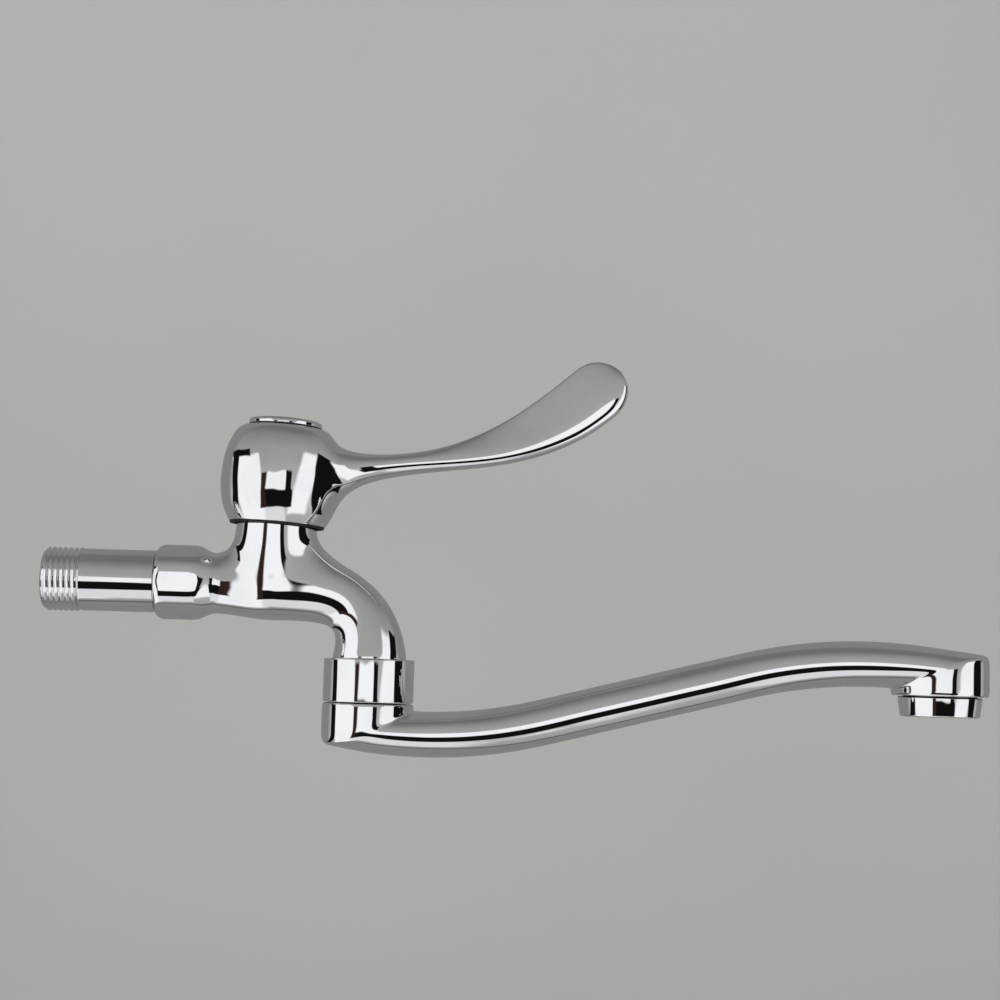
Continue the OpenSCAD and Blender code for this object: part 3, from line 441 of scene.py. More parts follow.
# Inside faces: the unplated casting painted near-black, as painted shade in bores, hollows and
# under rims
UNPLATED_SHADED = finish_material("unplated_inside_painted_shade", 0.0, (0.018, 0.017, 0.016), (0.03, 0.028, 0.025),
                           (0.5, 0.7), 0.05)
UNPLATED_SHADED.node_tree.nodes["Principled BSDF"].inputs["Specular IOR Level"].default_value = 0.1
for part in frame["record"]["subparts"]:
    mesh = frame["nodes"][part["node"]].data
    mesh.materials.clear()
    mesh.materials.append(FINISHES[part["material_slot"]])


# Turned pieces: swivel nut, index cap, aerator collar

SHARP_ANGLE = 40
NUT_THROAT_GAP, NUT_THREAD_GAP, NUT_EDGE, NUT_LIP_EDGE = 0.3, 0.1, 0.45, 0.2
NUT_PLATED_WALL, NUT_PLATED_TOP = 1.0, 0.3


def swivel_nut():
    throat, thread = SHANK_R + NUT_THROAT_GAP, TAIL_END_R + NUT_THREAD_GAP
    flange = NUT_BOTTOM_Z + NUT_FLANGE_T
    bm = turned([
        (throat, NUT_BOTTOM_Z, NUT_LIP_EDGE), (NUT_R, NUT_BOTTOM_Z, NUT_EDGE),
        (NUT_R, NUT_TOP_Z, NUT_EDGE), (thread, NUT_TOP_Z, NUT_LIP_EDGE),
        (thread, flange, 0), (throat, flange, 0)], inside_r=NUT_R - NUT_PLATED_WALL)
    for face in bm.faces:
        if face.calc_center_median().z > (NUT_TOP_Z - NUT_PLATED_TOP) * MM:
            face.material_index = PLATED
    bmesh.ops.transform(bm, matrix=ON_SWIVEL, verts=bm.verts[:])
    show("swivel_nut_turned", bm, "body", "chrome_turned", "swivel_nut", sharp=SHARP_ANGLE)


CAP_PLUG_GAP, CAP_PLUG_WALL, CAP_PLUG_EDGE, CAP_HOLLOW_TOP = 0.1, 1.4, 0.2, 0.2
CAP_SEAT_GAP, CAP_CHAMFER_W, CAP_CHAMFER_H, CAP_LIP_EDGE, CAP_EDGE = 0.02, 0.7, 0.6, 0.15, 0.9
CAP_PLATED_FROM = 0.45


def index_cap():
    base = DOME_RIM + DOME_H
    plug = CAP_RECESS_R - CAP_PLUG_GAP
    bore = plug - CAP_PLUG_WALL
    edge = base + CAP_EDGE_T
    crown = [(CAP_R * f, edge + CAP_CROWN * (1 - f * f), 0) for f in (0.8, 0.6, 0.4, 0.2)]
    bm = turned([
        (0, base + CAP_HOLLOW_TOP, 0), (bore, base + CAP_HOLLOW_TOP, 0),
        (bore, base - CAP_PLUG_LEN, CAP_PLUG_EDGE), (plug, base - CAP_PLUG_LEN, CAP_PLUG_EDGE),
        (plug, base + CAP_SEAT_GAP, 0), (CAP_R - CAP_CHAMFER_W, base + CAP_SEAT_GAP, 0),
        (CAP_R, base + CAP_CHAMFER_H, CAP_LIP_EDGE), (CAP_R, edge, CAP_EDGE), *crown,
        (0, edge + CAP_CROWN, 0)])
    for face in bm.faces:
        if face.calc_center_median().z < (base + CAP_PLATED_FROM) * MM:
            face.material_index = INSIDE
    bmesh.ops.transform(bm, matrix=ON_VALVE, verts=bm.verts[:])
    show("index_cap_turned", bm, "handle", "chrome_cap", "index_cap", sharp=SHARP_ANGLE)


def high_z():
    """Height of the tube's centre where its upper bend is level."""
    run = LOW_OUT + HIGH_BACK + (LOW_BEND_R + HIGH_BEND_R) * math.sin(TUBE_SLOPE)
    return (LOW_Z + (LOW_BEND_R + HIGH_BEND_R) * (1 - math.cos(TUBE_SLOPE))
            + (SPOUT_REACH - run) * math.tan(TUBE_SLOPE))


HIGH_Z = high_z()
BOSS_BOTTOM_Z = HIGH_Z - BOSS_DROP
COLLAR_TAPER, COLLAR_LOW_EDGE, COLLAR_TOP_EDGE = 0.9, 0.55, 0.5
COLLAR_WALL, COLLAR_LIP_W, COLLAR_LIP_T, COLLAR_LIP_EDGE = 1.5, 2.7, 1.6, 0.3
COLLAR_CORNER_EDGE, COLLAR_THREAD_EDGE = 0.1, 0.2


def aerator_collar():
    top, screwed_in = BOSS_BOTTOM_Z - AERATOR_GAP, BOSS_BOTTOM_Z + AERATOR_THREAD_LEN
    low = top - AERATOR_H
    bore, lip = AERATOR_THREAD_R - COLLAR_WALL, AERATOR_THREAD_R - COLLAR_LIP_W
    bm = turned([
        (lip, low, COLLAR_LIP_EDGE), (AERATOR_R - COLLAR_TAPER, low, COLLAR_LOW_EDGE),
        (AERATOR_R, top, COLLAR_TOP_EDGE), (AERATOR_THREAD_R, top, COLLAR_CORNER_EDGE),
        (AERATOR_THREAD_R, screwed_in, COLLAR_THREAD_EDGE), (bore, screwed_in, 0),
        (bore, low + COLLAR_LIP_T, 0), (lip, low + COLLAR_LIP_T, 0)])
    bmesh.ops.transform(bm, matrix=ON_OUTLET, verts=bm.verts[:])
    show("aerator_collar", bm, "spout", "chrome_turned", "aerator_housing", sharp=SHARP_ANGLE)


# Inlet nipple with its cut pipe thread

THREAD_TURNS, THREAD_STEPS, THREAD_SHARP_ANGLE = 10, 72, 70
# One tooth as radius and share of the pitch
TOOTH = [(THREAD_ROOT_R, 0.0), (THREAD_ROOT_R, 0.16), (THREAD_R, 0.46), (THREAD_R, 0.60),
         (THREAD_ROOT_R, 0.90), (THREAD_ROOT_R, 1.0)]
THREAD_SPARE_PITCHES, THREAD_SPARE, THREAD_RUN_OUT = 1.5, 0.2, 0.6
LEAD_IN, BLANK_SPARE, BLANK_END = 1.2, 0.2, 0.3
PIPE_CONE_START, PIPE_CONE_END, PIPE_CONE_W, PIPE_GAP, BORE_SPARE = -0.6, 0.5, 0.1, 0.04, 2.0
PIPE_EDGE, SHOULDER_EDGE, SPIGOT_EDGE = 0.3, 0.35, 0.3


def thread_core():
    """Helical thread, longer than it has to be, closed at both ends."""
    bm = bmesh.new()
    start = -THREAD_LEN - THREAD_SPARE_PITCHES * THREAD_PITCH
    verts = [bm.verts.new((r * MM, 0, (start + h * THREAD_PITCH) * MM)) for r, h in TOOTH]
    for a, b in zip(verts, verts[1:]):
        bm.edges.new((a, b))
    bmesh.ops.spin(bm, geom=bm.verts[:] + bm.edges[:], cent=(0, 0, 0), axis=(0, 0, 1),
                   dvec=(0, 0, THREAD_PITCH * MM / THREAD_STEPS), angle=2 * math.pi * THREAD_TURNS,
                   steps=THREAD_STEPS * THREAD_TURNS, use_merge=False)
    bmesh.ops.remove_doubles(bm, verts=bm.verts[:], dist=MERGE_DIST)
    for height, way in ((-THREAD_LEN - THREAD_SPARE, -1), (THREAD_RUN_OUT, 1)):
        cut = bmesh.ops.bisect_plane(bm, geom=bm.verts[:] + bm.edges[:] + bm.faces[:], dist=1e-8,
                                     plane_co=(0, 0, height * MM), plane_no=(0, 0, way),
                                     clear_outer=True)
        rim = [g for g in cut["geom_cut"] if isinstance(g, bmesh.types.BMEdge)]
        bmesh.ops.edgenet_fill(bm, edges=rim)
    bmesh.ops.recalc_face_normals(bm, faces=bm.faces[:])
    return bm


def inlet_nipple():
    over = THREAD_R + BLANK_SPARE
    blank = turned([(0, -THREAD_LEN, 0), (THREAD_R - LEAD_IN, -THREAD_LEN, 0),
                    (over, BLANK_SPARE - THREAD_LEN + LEAD_IN, 0), (over, BLANK_END, 0),
                    (0, BLANK_END, 0)])
    thread = joined(thread_core(), blank, "INTERSECT")
    shoulder, end = PIPE_LEN - PIPE_GAP, PIPE_LEN + SPIGOT_LEN
    pipe = turned([(0, PIPE_CONE_START, 0), (THREAD_ROOT_R + PIPE_CONE_W, PIPE_CONE_START, 0),
                   (PIPE_R, PIPE_CONE_END, PIPE_EDGE), (PIPE_R, shoulder, SHOULDER_EDGE),
                   (SPIGOT_R, shoulder, 0), (SPIGOT_R, end, SPIGOT_EDGE), (0, end, 0)])
    low, high = -THREAD_LEN - BORE_SPARE, end + BORE_SPARE
    bore = turned([(0, low, 0), (PIPE_BORE_R, low, 0), (PIPE_BORE_R, high, 0), (0, high, 0)])
    bm = joined(joined(thread, pipe, "UNION"), bore, "DIFFERENCE")
    bmesh.ops.transform(bm, matrix=ON_INLET, verts=bm.verts[:])
    show("inlet_nipple_threaded", bm, "body", "chrome_pipe", "inlet_nipple",
         sharp=THREAD_SHARP_ANGLE)


# Tap body: one casting with hexagonal socket, waist, barrel, neck and tail

ROUNDING_LEVELS = 3
# First numbers of the vertices round the casting's open ends
INLET_NUMBERS, OUTLET_NUMBERS = 1000, 2000
TAIL_PATH_END = NUT_TOP_Z + 0.25
TAIL_PATH = [(VALVE_X, 0.0), (mix(VALVE_X, SWIVEL_X, 0.80), -0.02 * NUT_TOP_Z),
             (SWIVEL_X, 0.40 * NUT_TOP_Z), (SWIVEL_X, TAIL_PATH_END)]
TAIL_BEND_OUT, TAIL_BEND_RUN = 20.0, 24.0
TAIL_SLIM_AT, TAIL_FLARE, TAIL_FLARE_POWER = 0.5, 0.2, 1.5


def tail_share(out):
    return share_reaching(out, lambda t: bezier(TAIL_PATH, t)[0] - VALVE_X)


TAIL_BEND_SHARE = tail_share(TAIL_BEND_OUT)


def tail_half(t):
    """Half width of the tail: slim at its middle, flared to its end."""
    if t < TAIL_SLIM_AT:
        return mix(BARREL_R, TAIL_R, smooth(t / TAIL_SLIM_AT))
    flared = ((t - TAIL_SLIM_AT) / (1 - TAIL_SLIM_AT)) ** TAIL_FLARE_POWER
    return mix(TAIL_R, TAIL_END_R + TAIL_FLARE, flared)


BODY_SIDES = 24
# Rows of the hexagon and of the cone behind it: place along X, share of the hexagon, round radius
HEX_ROWS = [(PIPE_LEN, 0.0, 10.75), (25.4, 0.2, 11.25), (26.8, 1.0, 0), (28.4, 1.0, 0),
            (35.4, 1.0, 0), (37.2, 1.0, 0), (39.0, 0.75, 11.6), (41.2, 0.25, 10.55),
            (43.6, 0.0, 9.95)]
# The chamber under the neck: its flank towards the hexagon and its squarer section
FLANK_LEN, FLANK_TOP, FLANK_FOOT_R, FLANK_POWER = 21.0, 1.0, 9.3, 1.4
CHAMBER_SQUARE, SQUARE_BACK, SQUARE_FORE = 0.6, 12.0, 18.0
# The neck's hole in the casting and the rows from there to the tail's end, from the valve axis on
NECK_BACK, NECK_ROW_STEP, NECK_ROW_COUNT, NECK_COLUMNS = -17.0, 3.6, 11, (6, 17)
NECK_SIDE, NECK_FORE_REACH, NECK_BACK_REACH = math.radians(80) * BARREL_R, 21.0, 18.2
TAIL_ROWS = [22.0, 24.6] + [27.0 + 17.0 / 7 * k for k in range(8)]
# The neck's blend: the climb at its foot, the corner that it bends round, its rings. The climb is
# measured over a small turn and a short way along the casting.
CLIMB_MIN, CLIMB_MAX = -0.2, 8.0
CORNER_DROP, CORNER_ROOM, CORNER_PULL = 2.0, 2.0, 0.75
CLIMB_TURN, CLIMB_STATION = 0.01, 0.1
NECK_RINGS, EASED_RINGS, NECK_EASE_ROUNDS = (0.2, 0.4, 0.6, 0.8, 1.0), 0.5, 3
NECK_EDGE, INLET_FACE_SPARE, TAIL_TUCK = 0.6, 0.1, 0.3


def hex_radius(turn):
    """Distance of the hexagon's flats and corners from the axis by the turn from its top corner."""
    from_flat = (math.degrees(turn) % 60) - 30
    flat = HEX_CORNER_R * math.cos(math.radians(30 - HEX_CORNER_TURN))
    return min(flat / math.cos(math.radians(from_flat)), HEX_CORNER_R)


def casting_place(turn, station):
    """Point of the casting's skin by its turn from the top. The station is the distance from the
    valve axis, backward along X and forward along the tail."""
    x = VALVE_X + station
    if station > 0:
        t = tail_share(station)
        if station > TAIL_BEND_OUT:
            t = mix(TAIL_BEND_SHARE, 1.0, (station - TAIL_BEND_OUT) / TAIL_BEND_RUN)
        centre, slope = bezier(TAIL_PATH, t), bezier_slope(TAIL_PATH, t)
        half = tail_half(t) * swell(BODY_SIDES)
        wide = half + CHAMBER_SWELL * math.exp(-(station / CHAMBER_RUN) ** 2)
    else:
        centre, slope = (x, 0.0), 0.0
        if x <= HEX_ROWS[-1][0]:
            _, share, round_r = min(HEX_ROWS, key=lambda row: abs(row[0] - x))
            half = wide = mix(round_r * swell(BODY_SIDES), hex_radius(turn), share)
        else:
            barrel = smooth((x - WAIST_X) / (VALVE_X - WAIST_X))
            half = mix(WAIST_R, BARREL_R, barrel) * swell(BODY_SIDES)
            flank = min(1.0, (station + FLANK_LEN) / (FLANK_LEN - FLANK_TOP)) ** FLANK_POWER
            wide = mix(FLANK_FOOT_R, BARREL_R + CHAMBER_SWELL, flank) * swell(BODY_SIDES)
    fade = math.exp(-(station / (SQUARE_BACK if station < 0 else SQUARE_FORE)) ** 2)
    square = 2 / (2 + CHAMBER_SQUARE * fade)
    up = half * math.copysign(abs(math.cos(turn)) ** square, math.cos(turn))
    across = wide * math.copysign(abs(math.sin(turn)) ** square, math.sin(turn))
    x, z = centre[0] - up * math.sin(slope), centre[1] + up * math.cos(slope)
    return Vector((x, -across, z)) * MM


def neck_foot(turn, station):
    """Reach, height and turn about the valve axis of a point of the casting's skin, and how
    steeply the skin climbs from there towards that axis."""
    here = TO_VALVE @ casting_place(turn, station) / MM
    round_step = TO_VALVE @ casting_place(turn + CLIMB_TURN, station) / MM - here
    along_step = TO_VALVE @ casting_place(turn, station + CLIMB_STATION) / MM - here
    steps = Matrix(((round_step.x, along_step.x), (round_step.y, along_step.y)))
    share = steps.inverted_safe() @ -here.xy.normalized()
    climb = share.x * round_step.z + share.y * along_step.z
    return (math.hypot(here.x, here.y), here.z, math.atan2(here.y, here.x),
            min(max(climb, CLIMB_MIN), CLIMB_MAX))


def neck_curve(foot, t):
    """Radius and height on the neck's blend. It runs straight up where the foot lies under the
    neck's wall, and bends round a corner where the foot reaches further out."""
    reach, low, _, climb = foot
    room = reach - NECK_R
    corner = min(max(low + climb * room, low), NECK_BLEND_TOP - CORNER_DROP)
    bent = smooth(room / CORNER_ROOM)
    first = (mix(reach, NECK_R, mix(1 / 3, CORNER_PULL, bent)),
             mix(mix(low, NECK_BLEND_TOP, 1 / 3), mix(low, corner, CORNER_PULL), bent))
    second = (mix(reach, NECK_R, mix(2 / 3, 1.0, bent)),
              mix(mix(low, NECK_BLEND_TOP, 2 / 3), mix(NECK_BLEND_TOP, corner, CORNER_PULL), bent))
    return bezier([(reach, low), first, second, (NECK_R, NECK_BLEND_TOP)], t)


def tap_body():
    columns = [math.radians((j + 0.5) * 360 / BODY_SIDES - 180) * BARREL_R
               for j in range(BODY_SIDES + 1)]
    hex_rows = [row[0] - VALVE_X for row in HEX_ROWS]
    neck_rows = [NECK_BACK + NECK_ROW_STEP * k for k in range(NECK_ROW_COUNT)]
    first = len(hex_rows)

    def oval(turn):
        reach = NECK_FORE_REACH if turn % (2 * math.pi) < math.pi else NECK_BACK_REACH
        return NECK_SIDE * math.cos(turn), reach * math.sin(turn)

    bm = holed_sheet(columns, hex_rows + neck_rows + TAIL_ROWS, NECK_COLUMNS,
                     (first, first + NECK_ROW_COUNT - 1), oval)
    spot = spot_layer(bm)
    feet = {}
    for vert in bm.verts:
        turn, station = vert.co.x / BARREL_R, vert.co.y
        vert.co = casting_place(turn, station)
        if vert[spot] >= 0:
            feet[vert[spot]] = neck_foot(turn, station)
    bmesh.ops.remove_doubles(bm, verts=bm.verts[:], dist=MERGE_DIST)

    def on_neck(number, radius, height):
        return on_valve(feet[number][2], radius, height)

    rim = hole_rim(bm)
    eased = {v for e in rim for v in e.verts}
    for t in NECK_RINGS:
        rim = pull(bm, rim, lambda n: on_neck(n, *neck_curve(feet[n], t)))
        if t < EASED_RINGS:
            eased |= {v for e in rim for v in e.verts}
    for _ in range(NECK_EASE_ROUNDS):
        bmesh.ops.smooth_vert(bm, verts=list(eased), factor=0.5,
                              use_axis_x=True, use_axis_y=True, use_axis_z=True)
    run_in(bm, rim, on_neck, [
        (NECK_R, NECK_TOP - NECK_EDGE, 0, PLATED), (NECK_R, NECK_TOP, 0.7, PLATED),
        (HEADWORK_BORE_R, NECK_TOP, 1, INSIDE), (HEADWORK_BORE_R, HEADWORK_THREAD_BASE, 1, INSIDE),
        (SEAT_R, HEADWORK_THREAD_BASE, 1, INSIDE), (SEAT_R, SEAT_H, 1, INSIDE)])

    ends = [e for e in bm.edges if e.is_boundary]
    inlet = [e for e in ends if all(v.co.x < (PIPE_LEN + INLET_FACE_SPARE) * MM for v in e.verts)]
    outlet = [e for e in ends if e not in inlet]
    turns = number_rim(bm, inlet, INLET_NUMBERS, lambda p: math.atan2(p.z, p.y))
    turns |= number_rim(bm, outlet, OUTLET_NUMBERS, lambda p: math.atan2(p.y, p.x - SWIVEL_X * MM))

    def on_inlet(number, radius, x):
        turn = turns[number]
        return Vector((x, radius * math.cos(turn), radius * math.sin(turn))) * MM

    def on_tail(number, radius, z):
        turn = turns[number]
        return Vector((SWIVEL_X + radius * math.cos(turn), radius * math.sin(turn), z)) * MM

    run_in(bm, inlet, on_inlet, [
        (PIPE_R, PIPE_LEN, 0.6, INSIDE), (SOCKET_R, PIPE_LEN, 1, INSIDE),
        (SOCKET_R, SOCKET_END_X, 1, INSIDE), (INLET_WAY_R, SOCKET_END_X, 1, INSIDE),
        (INLET_WAY_R, INLET_WAY_END_X, 1, INSIDE)])
    run_in(bm, outlet, on_tail, [
        (TAIL_END_R, NUT_TOP_Z - TAIL_TUCK, 0.5, PLATED), (TAIL_END_R, TAIL_END_Z, 1, INSIDE),
        (TAIL_BORE_R, TAIL_END_Z, 1, INSIDE), (TAIL_BORE_R, TAIL_BORE_TOP_Z, 1, PLATED)])
    show("tap_body_cast", bm, "body", "chrome_casting", "tap_body", levels=ROUNDING_LEVELS)


# Handle: bell-shaped dome with the lever drawn out of its side

DOME_SIDES, LEVER_SIDES = 32, 28
# Shares that keep the control points inside the part's own box
DOME_FIT, LEVER_FIT = 0.993, 0.9914
# First numbers of the vertices round the dome's open ends
CROWN_NUMBERS, MOUTH_NUMBERS = 1000, 2000
DOME_RIM_POWER, DOME_RIM_STEPS = 2.6, 60
# The rows of the dome: lengths up from the rim, the lever's root between two heights, then
# shares of the way from there to the crown
RIM_ROWS, CROWN_ROWS = [0.0, 0.5, 1.8, 3.8], (0.3, 0.58, 0.82, 1.0)
ROOT_LOW, ROOT_HIGH, ROOT_STEPS, ROOT_COLUMNS = 6.4, 29.0, 6, (12, 20)
ROOT_SIDE = math.radians(45) * DOME_R
CROWN_EDGE_W, RIM_INSET, RIM_LIFT, RIM_SKIRT = 1.2, 0.25, 0.1, 0.6
LEVER_PATH = [(13.5, LEVER_ROOT), (0.49 * LEVER_REACH, LEVER_ROOT + 0.097 * LEVER_RISE),
              (0.78 * LEVER_REACH, LEVER_ROOT + 0.27 * LEVER_RISE),
              (LEVER_REACH, LEVER_ROOT + LEVER_RISE)]
LEVER_NECK_AT, LEAF_FULL_AT, WEDGE_FROM, WEDGE_RUN, ROOT_DROP = 0.25, 0.88, 0.2, 0.4, 0.16
# Share of the path at which the leaf's round tip starts, from the path's speed at its end
TIP_FROM = 1 - LEAF_H / 2 / (3 * math.dist(LEVER_PATH[3], LEVER_PATH[2]))
TIP_BLUNT, TIP_SPARE = 0.0004, 0.02
LEVER_RINGS = [0.055, 0.085, 0.12, 0.165, 0.215] + [0.27 + 0.055 * k for k in range(12)]
TIP_RINGS = (0, 22, 44, 62, 78, 86)
# Half outline of the leaf's section from its underside to its upper edge, as shares of its half
# thickness and half height: a wedge, thin above, thickest near its lower edge
LEAF_OUTLINE = [(0.0, -1.03), (0.41, -1.015), (0.71, -0.945), (0.90, -0.83), (0.98, -0.69),
                (1.0, -0.51), (0.95, -0.28), (0.82, 0.0), (0.69, 0.22), (0.555, 0.43),
                (0.43, 0.62), (0.31, 0.78), (0.21, 0.90), (0.11, 0.975), (0.0, 1.0)]


def dome_profile():
    """Outline of the dome from rim to crown as (length along it, radius, height)."""
    points = []
    for k in range(DOME_RIM_STEPS):
        t = k / DOME_RIM_STEPS
        drawn_in = (DOME_R - DOME_RIM_R) * (1 - t) ** DOME_RIM_POWER
        points.append((DOME_R - drawn_in, DOME_BELLY_H * t))
    for degree in range(91):
        a = math.radians(degree)
        points.append((mix(DOME_CROWN_R, DOME_R, math.cos(a)),
                       mix(DOME_BELLY_H, DOME_H, math.sin(a))))
    outline, length = [(0.0, *points[0])], 0.0
    for (r0, h0), (r1, h1) in zip(points, points[1:]):
        length += math.hypot(r1 - r0, h1 - h0)
        outline.append((length, r1, h1))
    return outline


DOME_OUTLINE = dome_profile()
DOME_LENGTH = DOME_OUTLINE[-1][0]


def dome_at(length):
    for (a, r0, h0), (b, r1, h1) in zip(DOME_OUTLINE, DOME_OUTLINE[1:]):
        if length <= b:
            t = (length - a) / (b - a)
            return mix(r0, r1, t), mix(h0, h1, t)
    return DOME_OUTLINE[-1][1:]


def dome_length_at(height):
    return min(DOME_OUTLINE, key=lambda p: abs(p[2] - height))[0]


def lever_place(number, t):
    """Point of the lever's skin, numbered round its section from the far side over the top."""
    turn = 2 * math.pi * number / LEVER_SIDES
    quarter = LEVER_SIDES // 4
    row = 2 * quarter - abs((number + quarter) % LEVER_SIDES - 2 * quarter)
    wedge = smooth((t - WEDGE_FROM) / WEDGE_RUN)
    flare = math.exp(-t / FLARE_FADE)
    leaf = smooth((t - LEVER_NECK_AT) / (LEAF_FULL_AT - LEVER_NECK_AT))
    past = max(0.0, (t - TIP_FROM) / (1 - TIP_FROM))
    size = LEVER_FIT * swell(LEVER_SIDES) / 2 * math.sqrt(max(TIP_BLUNT, 1 - past ** 2))
    tall = mix(LEVER_NECK_H, LEAF_H, leaf) + ROOT_FLARE_H * flare
    thick = mix(LEVER_NECK_T, LEAF_T, leaf) + ROOT_FLARE_W * math.exp(-t / SIDE_FLARE_FADE)
    x, z = bezier(LEVER_PATH, t)
    z -= ROOT_DROP * ROOT_FLARE_H * flare
    slope = bezier_slope(LEVER_PATH, t)
    side, rise = LEAF_OUTLINE[row]
    across = size * thick * mix(math.cos(turn), math.copysign(side, math.cos(turn)), wedge)
    up = size * tall * mix(math.sin(turn), rise, wedge)
    return ON_VALVE @ (Vector((x - up * math.sin(slope), across, z + up * math.cos(slope))) * MM)


def handle():
    columns = [math.radians(-180 + 360 * j / DOME_SIDES) * DOME_R for j in range(DOME_SIDES + 1)]
    low, high = dome_length_at(ROOT_LOW), dome_length_at(ROOT_HIGH)
    rows = (RIM_ROWS + [mix(low, high, k / ROOT_STEPS) for k in range(ROOT_STEPS + 1)]
            + [mix(high, DOME_LENGTH, share) for share in CROWN_ROWS])

    def oval(turn):
        return ROOT_SIDE * math.cos(turn), (low + high) / 2 + (high - low) / 2 * math.sin(turn)

    first = len(RIM_ROWS)
    bm = holed_sheet(columns, rows, ROOT_COLUMNS, (first, first + ROOT_STEPS), oval)
    spot = spot_layer(bm)
    for vert in bm.verts:
        turn = vert.co.x / DOME_R
        radius, height = dome_at(vert.co.y)
        vert.co = on_valve(turn, radius * DOME_FIT * swell(DOME_SIDES), DOME_RIM + height)
    bmesh.ops.remove_doubles(bm, verts=bm.verts[:], dist=MERGE_DIST)

    rim = hole_rim(bm)
    shares = [t for t in LEVER_RINGS if t < TIP_FROM - TIP_SPARE]
    shares += [mix(TIP_FROM, 1.0, math.sin(math.radians(degree))) for degree in TIP_RINGS]
    for t in shares:
        rim = pull(bm, rim, lambda n: lever_place(n, t))
    edges_of_leaf = {LEVER_SIDES // 4, 3 * LEVER_SIDES // 4}
    sides = [e for e in rim if not edges_of_leaf & {v[spot] for v in e.verts}]
    bmesh.ops.bridge_loops(bm, edges=sides)
    close_rim(bm, hole_rim(bm))

    def turn_of(point):
        local = TO_VALVE @ point
        return math.atan2(local.y, local.x)

    ends = [e for e in bm.edges if e.is_boundary]
    middle = (DOME_RIM + DOME_H / 2) * MM
    crown = [e for e in ends if all((TO_VALVE @ v.co).z > middle for v in e.verts)]
    mouth = [e for e in ends if e not in crown]
    turns = number_rim(bm, crown, CROWN_NUMBERS, turn_of)
    turns |= number_rim(bm, mouth, MOUTH_NUMBERS, turn_of)

    def on_axis(number, radius, height):
        return on_valve(turns[number], radius, height)

    top = DOME_RIM + DOME_H
    run_in(bm, crown, on_axis, [
        (DOME_CROWN_R - CROWN_EDGE_W, top, 0, PLATED), (CAP_RECESS_R, top, 1, PLATED),
        (CAP_RECESS_R, CAP_RECESS_FLOOR, 1, INSIDE), (SCREW_HEAD_R, CAP_RECESS_FLOOR, 0, INSIDE)])
    # The mouth's inside lip and skirt, in the near-black inside finish, show below the rim as a
    # painted dark ring of shade
    lip, skirt = DOME_RIM_R - RIM_INSET, DOME_RIM - RIM_SKIRT
    run_in(bm, mouth, on_axis, [
        (lip, DOME_RIM + RIM_LIFT, 0.8, INSIDE), (lip, skirt, 1, INSIDE),
        (DOME_HOLLOW_R, skirt, 1, INSIDE), (DOME_HOLLOW_R, DOME_SHOULDER, 1, INSIDE),
        (DOME_HOLLOW_R - DOME_SHOULDER_W, DOME_HOLLOW_TOP, 1, INSIDE),
        (HUB_R, DOME_HOLLOW_TOP, 1, INSIDE), (HUB_R, HUB_BASE, 1, INSIDE),
        (SPLINE_R, HUB_BASE, 1, INSIDE), (SPLINE_R, SPLINE_TOP, 1, INSIDE)])
    show("handle_cast", bm, "handle", "chrome_handle", "handle", levels=ROUNDING_LEVELS)


# Spout: foot, S-shaped tube and outlet boss drawn as one run of rings

SPOUT_SIDES, TUBE_RINGS, TUBE_FIT = 24, 20, 0.998
RUN_OUT, MITRE_BACK = 24.0, 4.0
FILLET_IN, FILLET_OUT, FILLET_ROOM = 1.5, 4.0, 0.45
FOOT_CORNER_POWER, BOSS_CORNER_POWER = 2.7, 3.0
WALL_SHARES, CORNER_SHARES = (0.0, 0.33, 0.66), (0.0, 0.25, 0.5, 0.75, 1.0)
FOOT_EDGE, BOSS_EDGE_W, BOSS_EDGE_H, BOSS_THREAD_GAP = 0.35, 0.45, 0.6, 0.1


def tube_course(out):
    """Centre height and slope of the tube at a distance from the swivel axis."""
    lower_end = LOW_OUT + LOW_BEND_R * math.sin(TUBE_SLOPE)
    upper_start = SPOUT_REACH - HIGH_BACK - HIGH_BEND_R * math.sin(TUBE_SLOPE)
    if out < upper_start:
        bend = math.asin((min(out, lower_end) - LOW_OUT) / LOW_BEND_R)
        rise = max(0.0, out - lower_end) * math.tan(TUBE_SLOPE)
        return LOW_Z + LOW_BEND_R * (1 - math.cos(bend)) + rise, bend
    if out <= SPOUT_REACH:
        bend = math.asin((SPOUT_REACH - HIGH_BACK - out) / HIGH_BEND_R)
        return HIGH_Z - HIGH_BEND_R * (1 - math.cos(bend)), bend
    height, bend = tube_course(SPOUT_REACH)
    return height - math.tan(BOSS_SLANT) * (out - SPOUT_REACH), bend


def tube_half_width(out):
    foot = min(1.0, max(0.0, 1 - out / TUBE_TAPER)) ** TUBE_FLARE_POWER
    boss = min(1.0, max(0.0, 1 - (SPOUT_REACH - out) / TUBE_TAPER)) ** TUBE_FLARE_POWER
    return TUBE_R + (FOOT_R - TUBE_R) * foot + (BOSS_R - TUBE_R) * boss


def skin_across(side, out, upright):
    """Distance of the skin from the middle plane: flat above and below with round sides,
    and a plain ellipse where the section stands upright in a corner."""
    wide = tube_half_width(out)
    flat = (wide - TUBE_R) * (1.5 * side - 0.5 * side ** 3) + TUBE_R * side
    return mix(flat, wide * side, upright)


def section_place(turn, out, power=2.0, upright=0.0):
    """Point of the tube's skin. The turn runs from the top over the viewer's side to the bottom."""
    height, slope = tube_course(out)
    slope *= 1 - upright
    side, rise = math.sin(turn), math.cos(turn)
    grow = TUBE_FIT * swell(SPOUT_SIDES)
    up = grow * math.copysign(TUBE_R * max(0.0, 1 - abs(side) ** power) ** (1 / power), rise)
    across = grow * skin_across(side, out, upright)
    x, z = SWIVEL_X + out - up * math.sin(slope), height + up * math.cos(slope)
    return Vector((x, -across, z)) * MM


def spot_turn(number):
    return 2 * math.pi * (number + 0.5) / SPOUT_SIDES


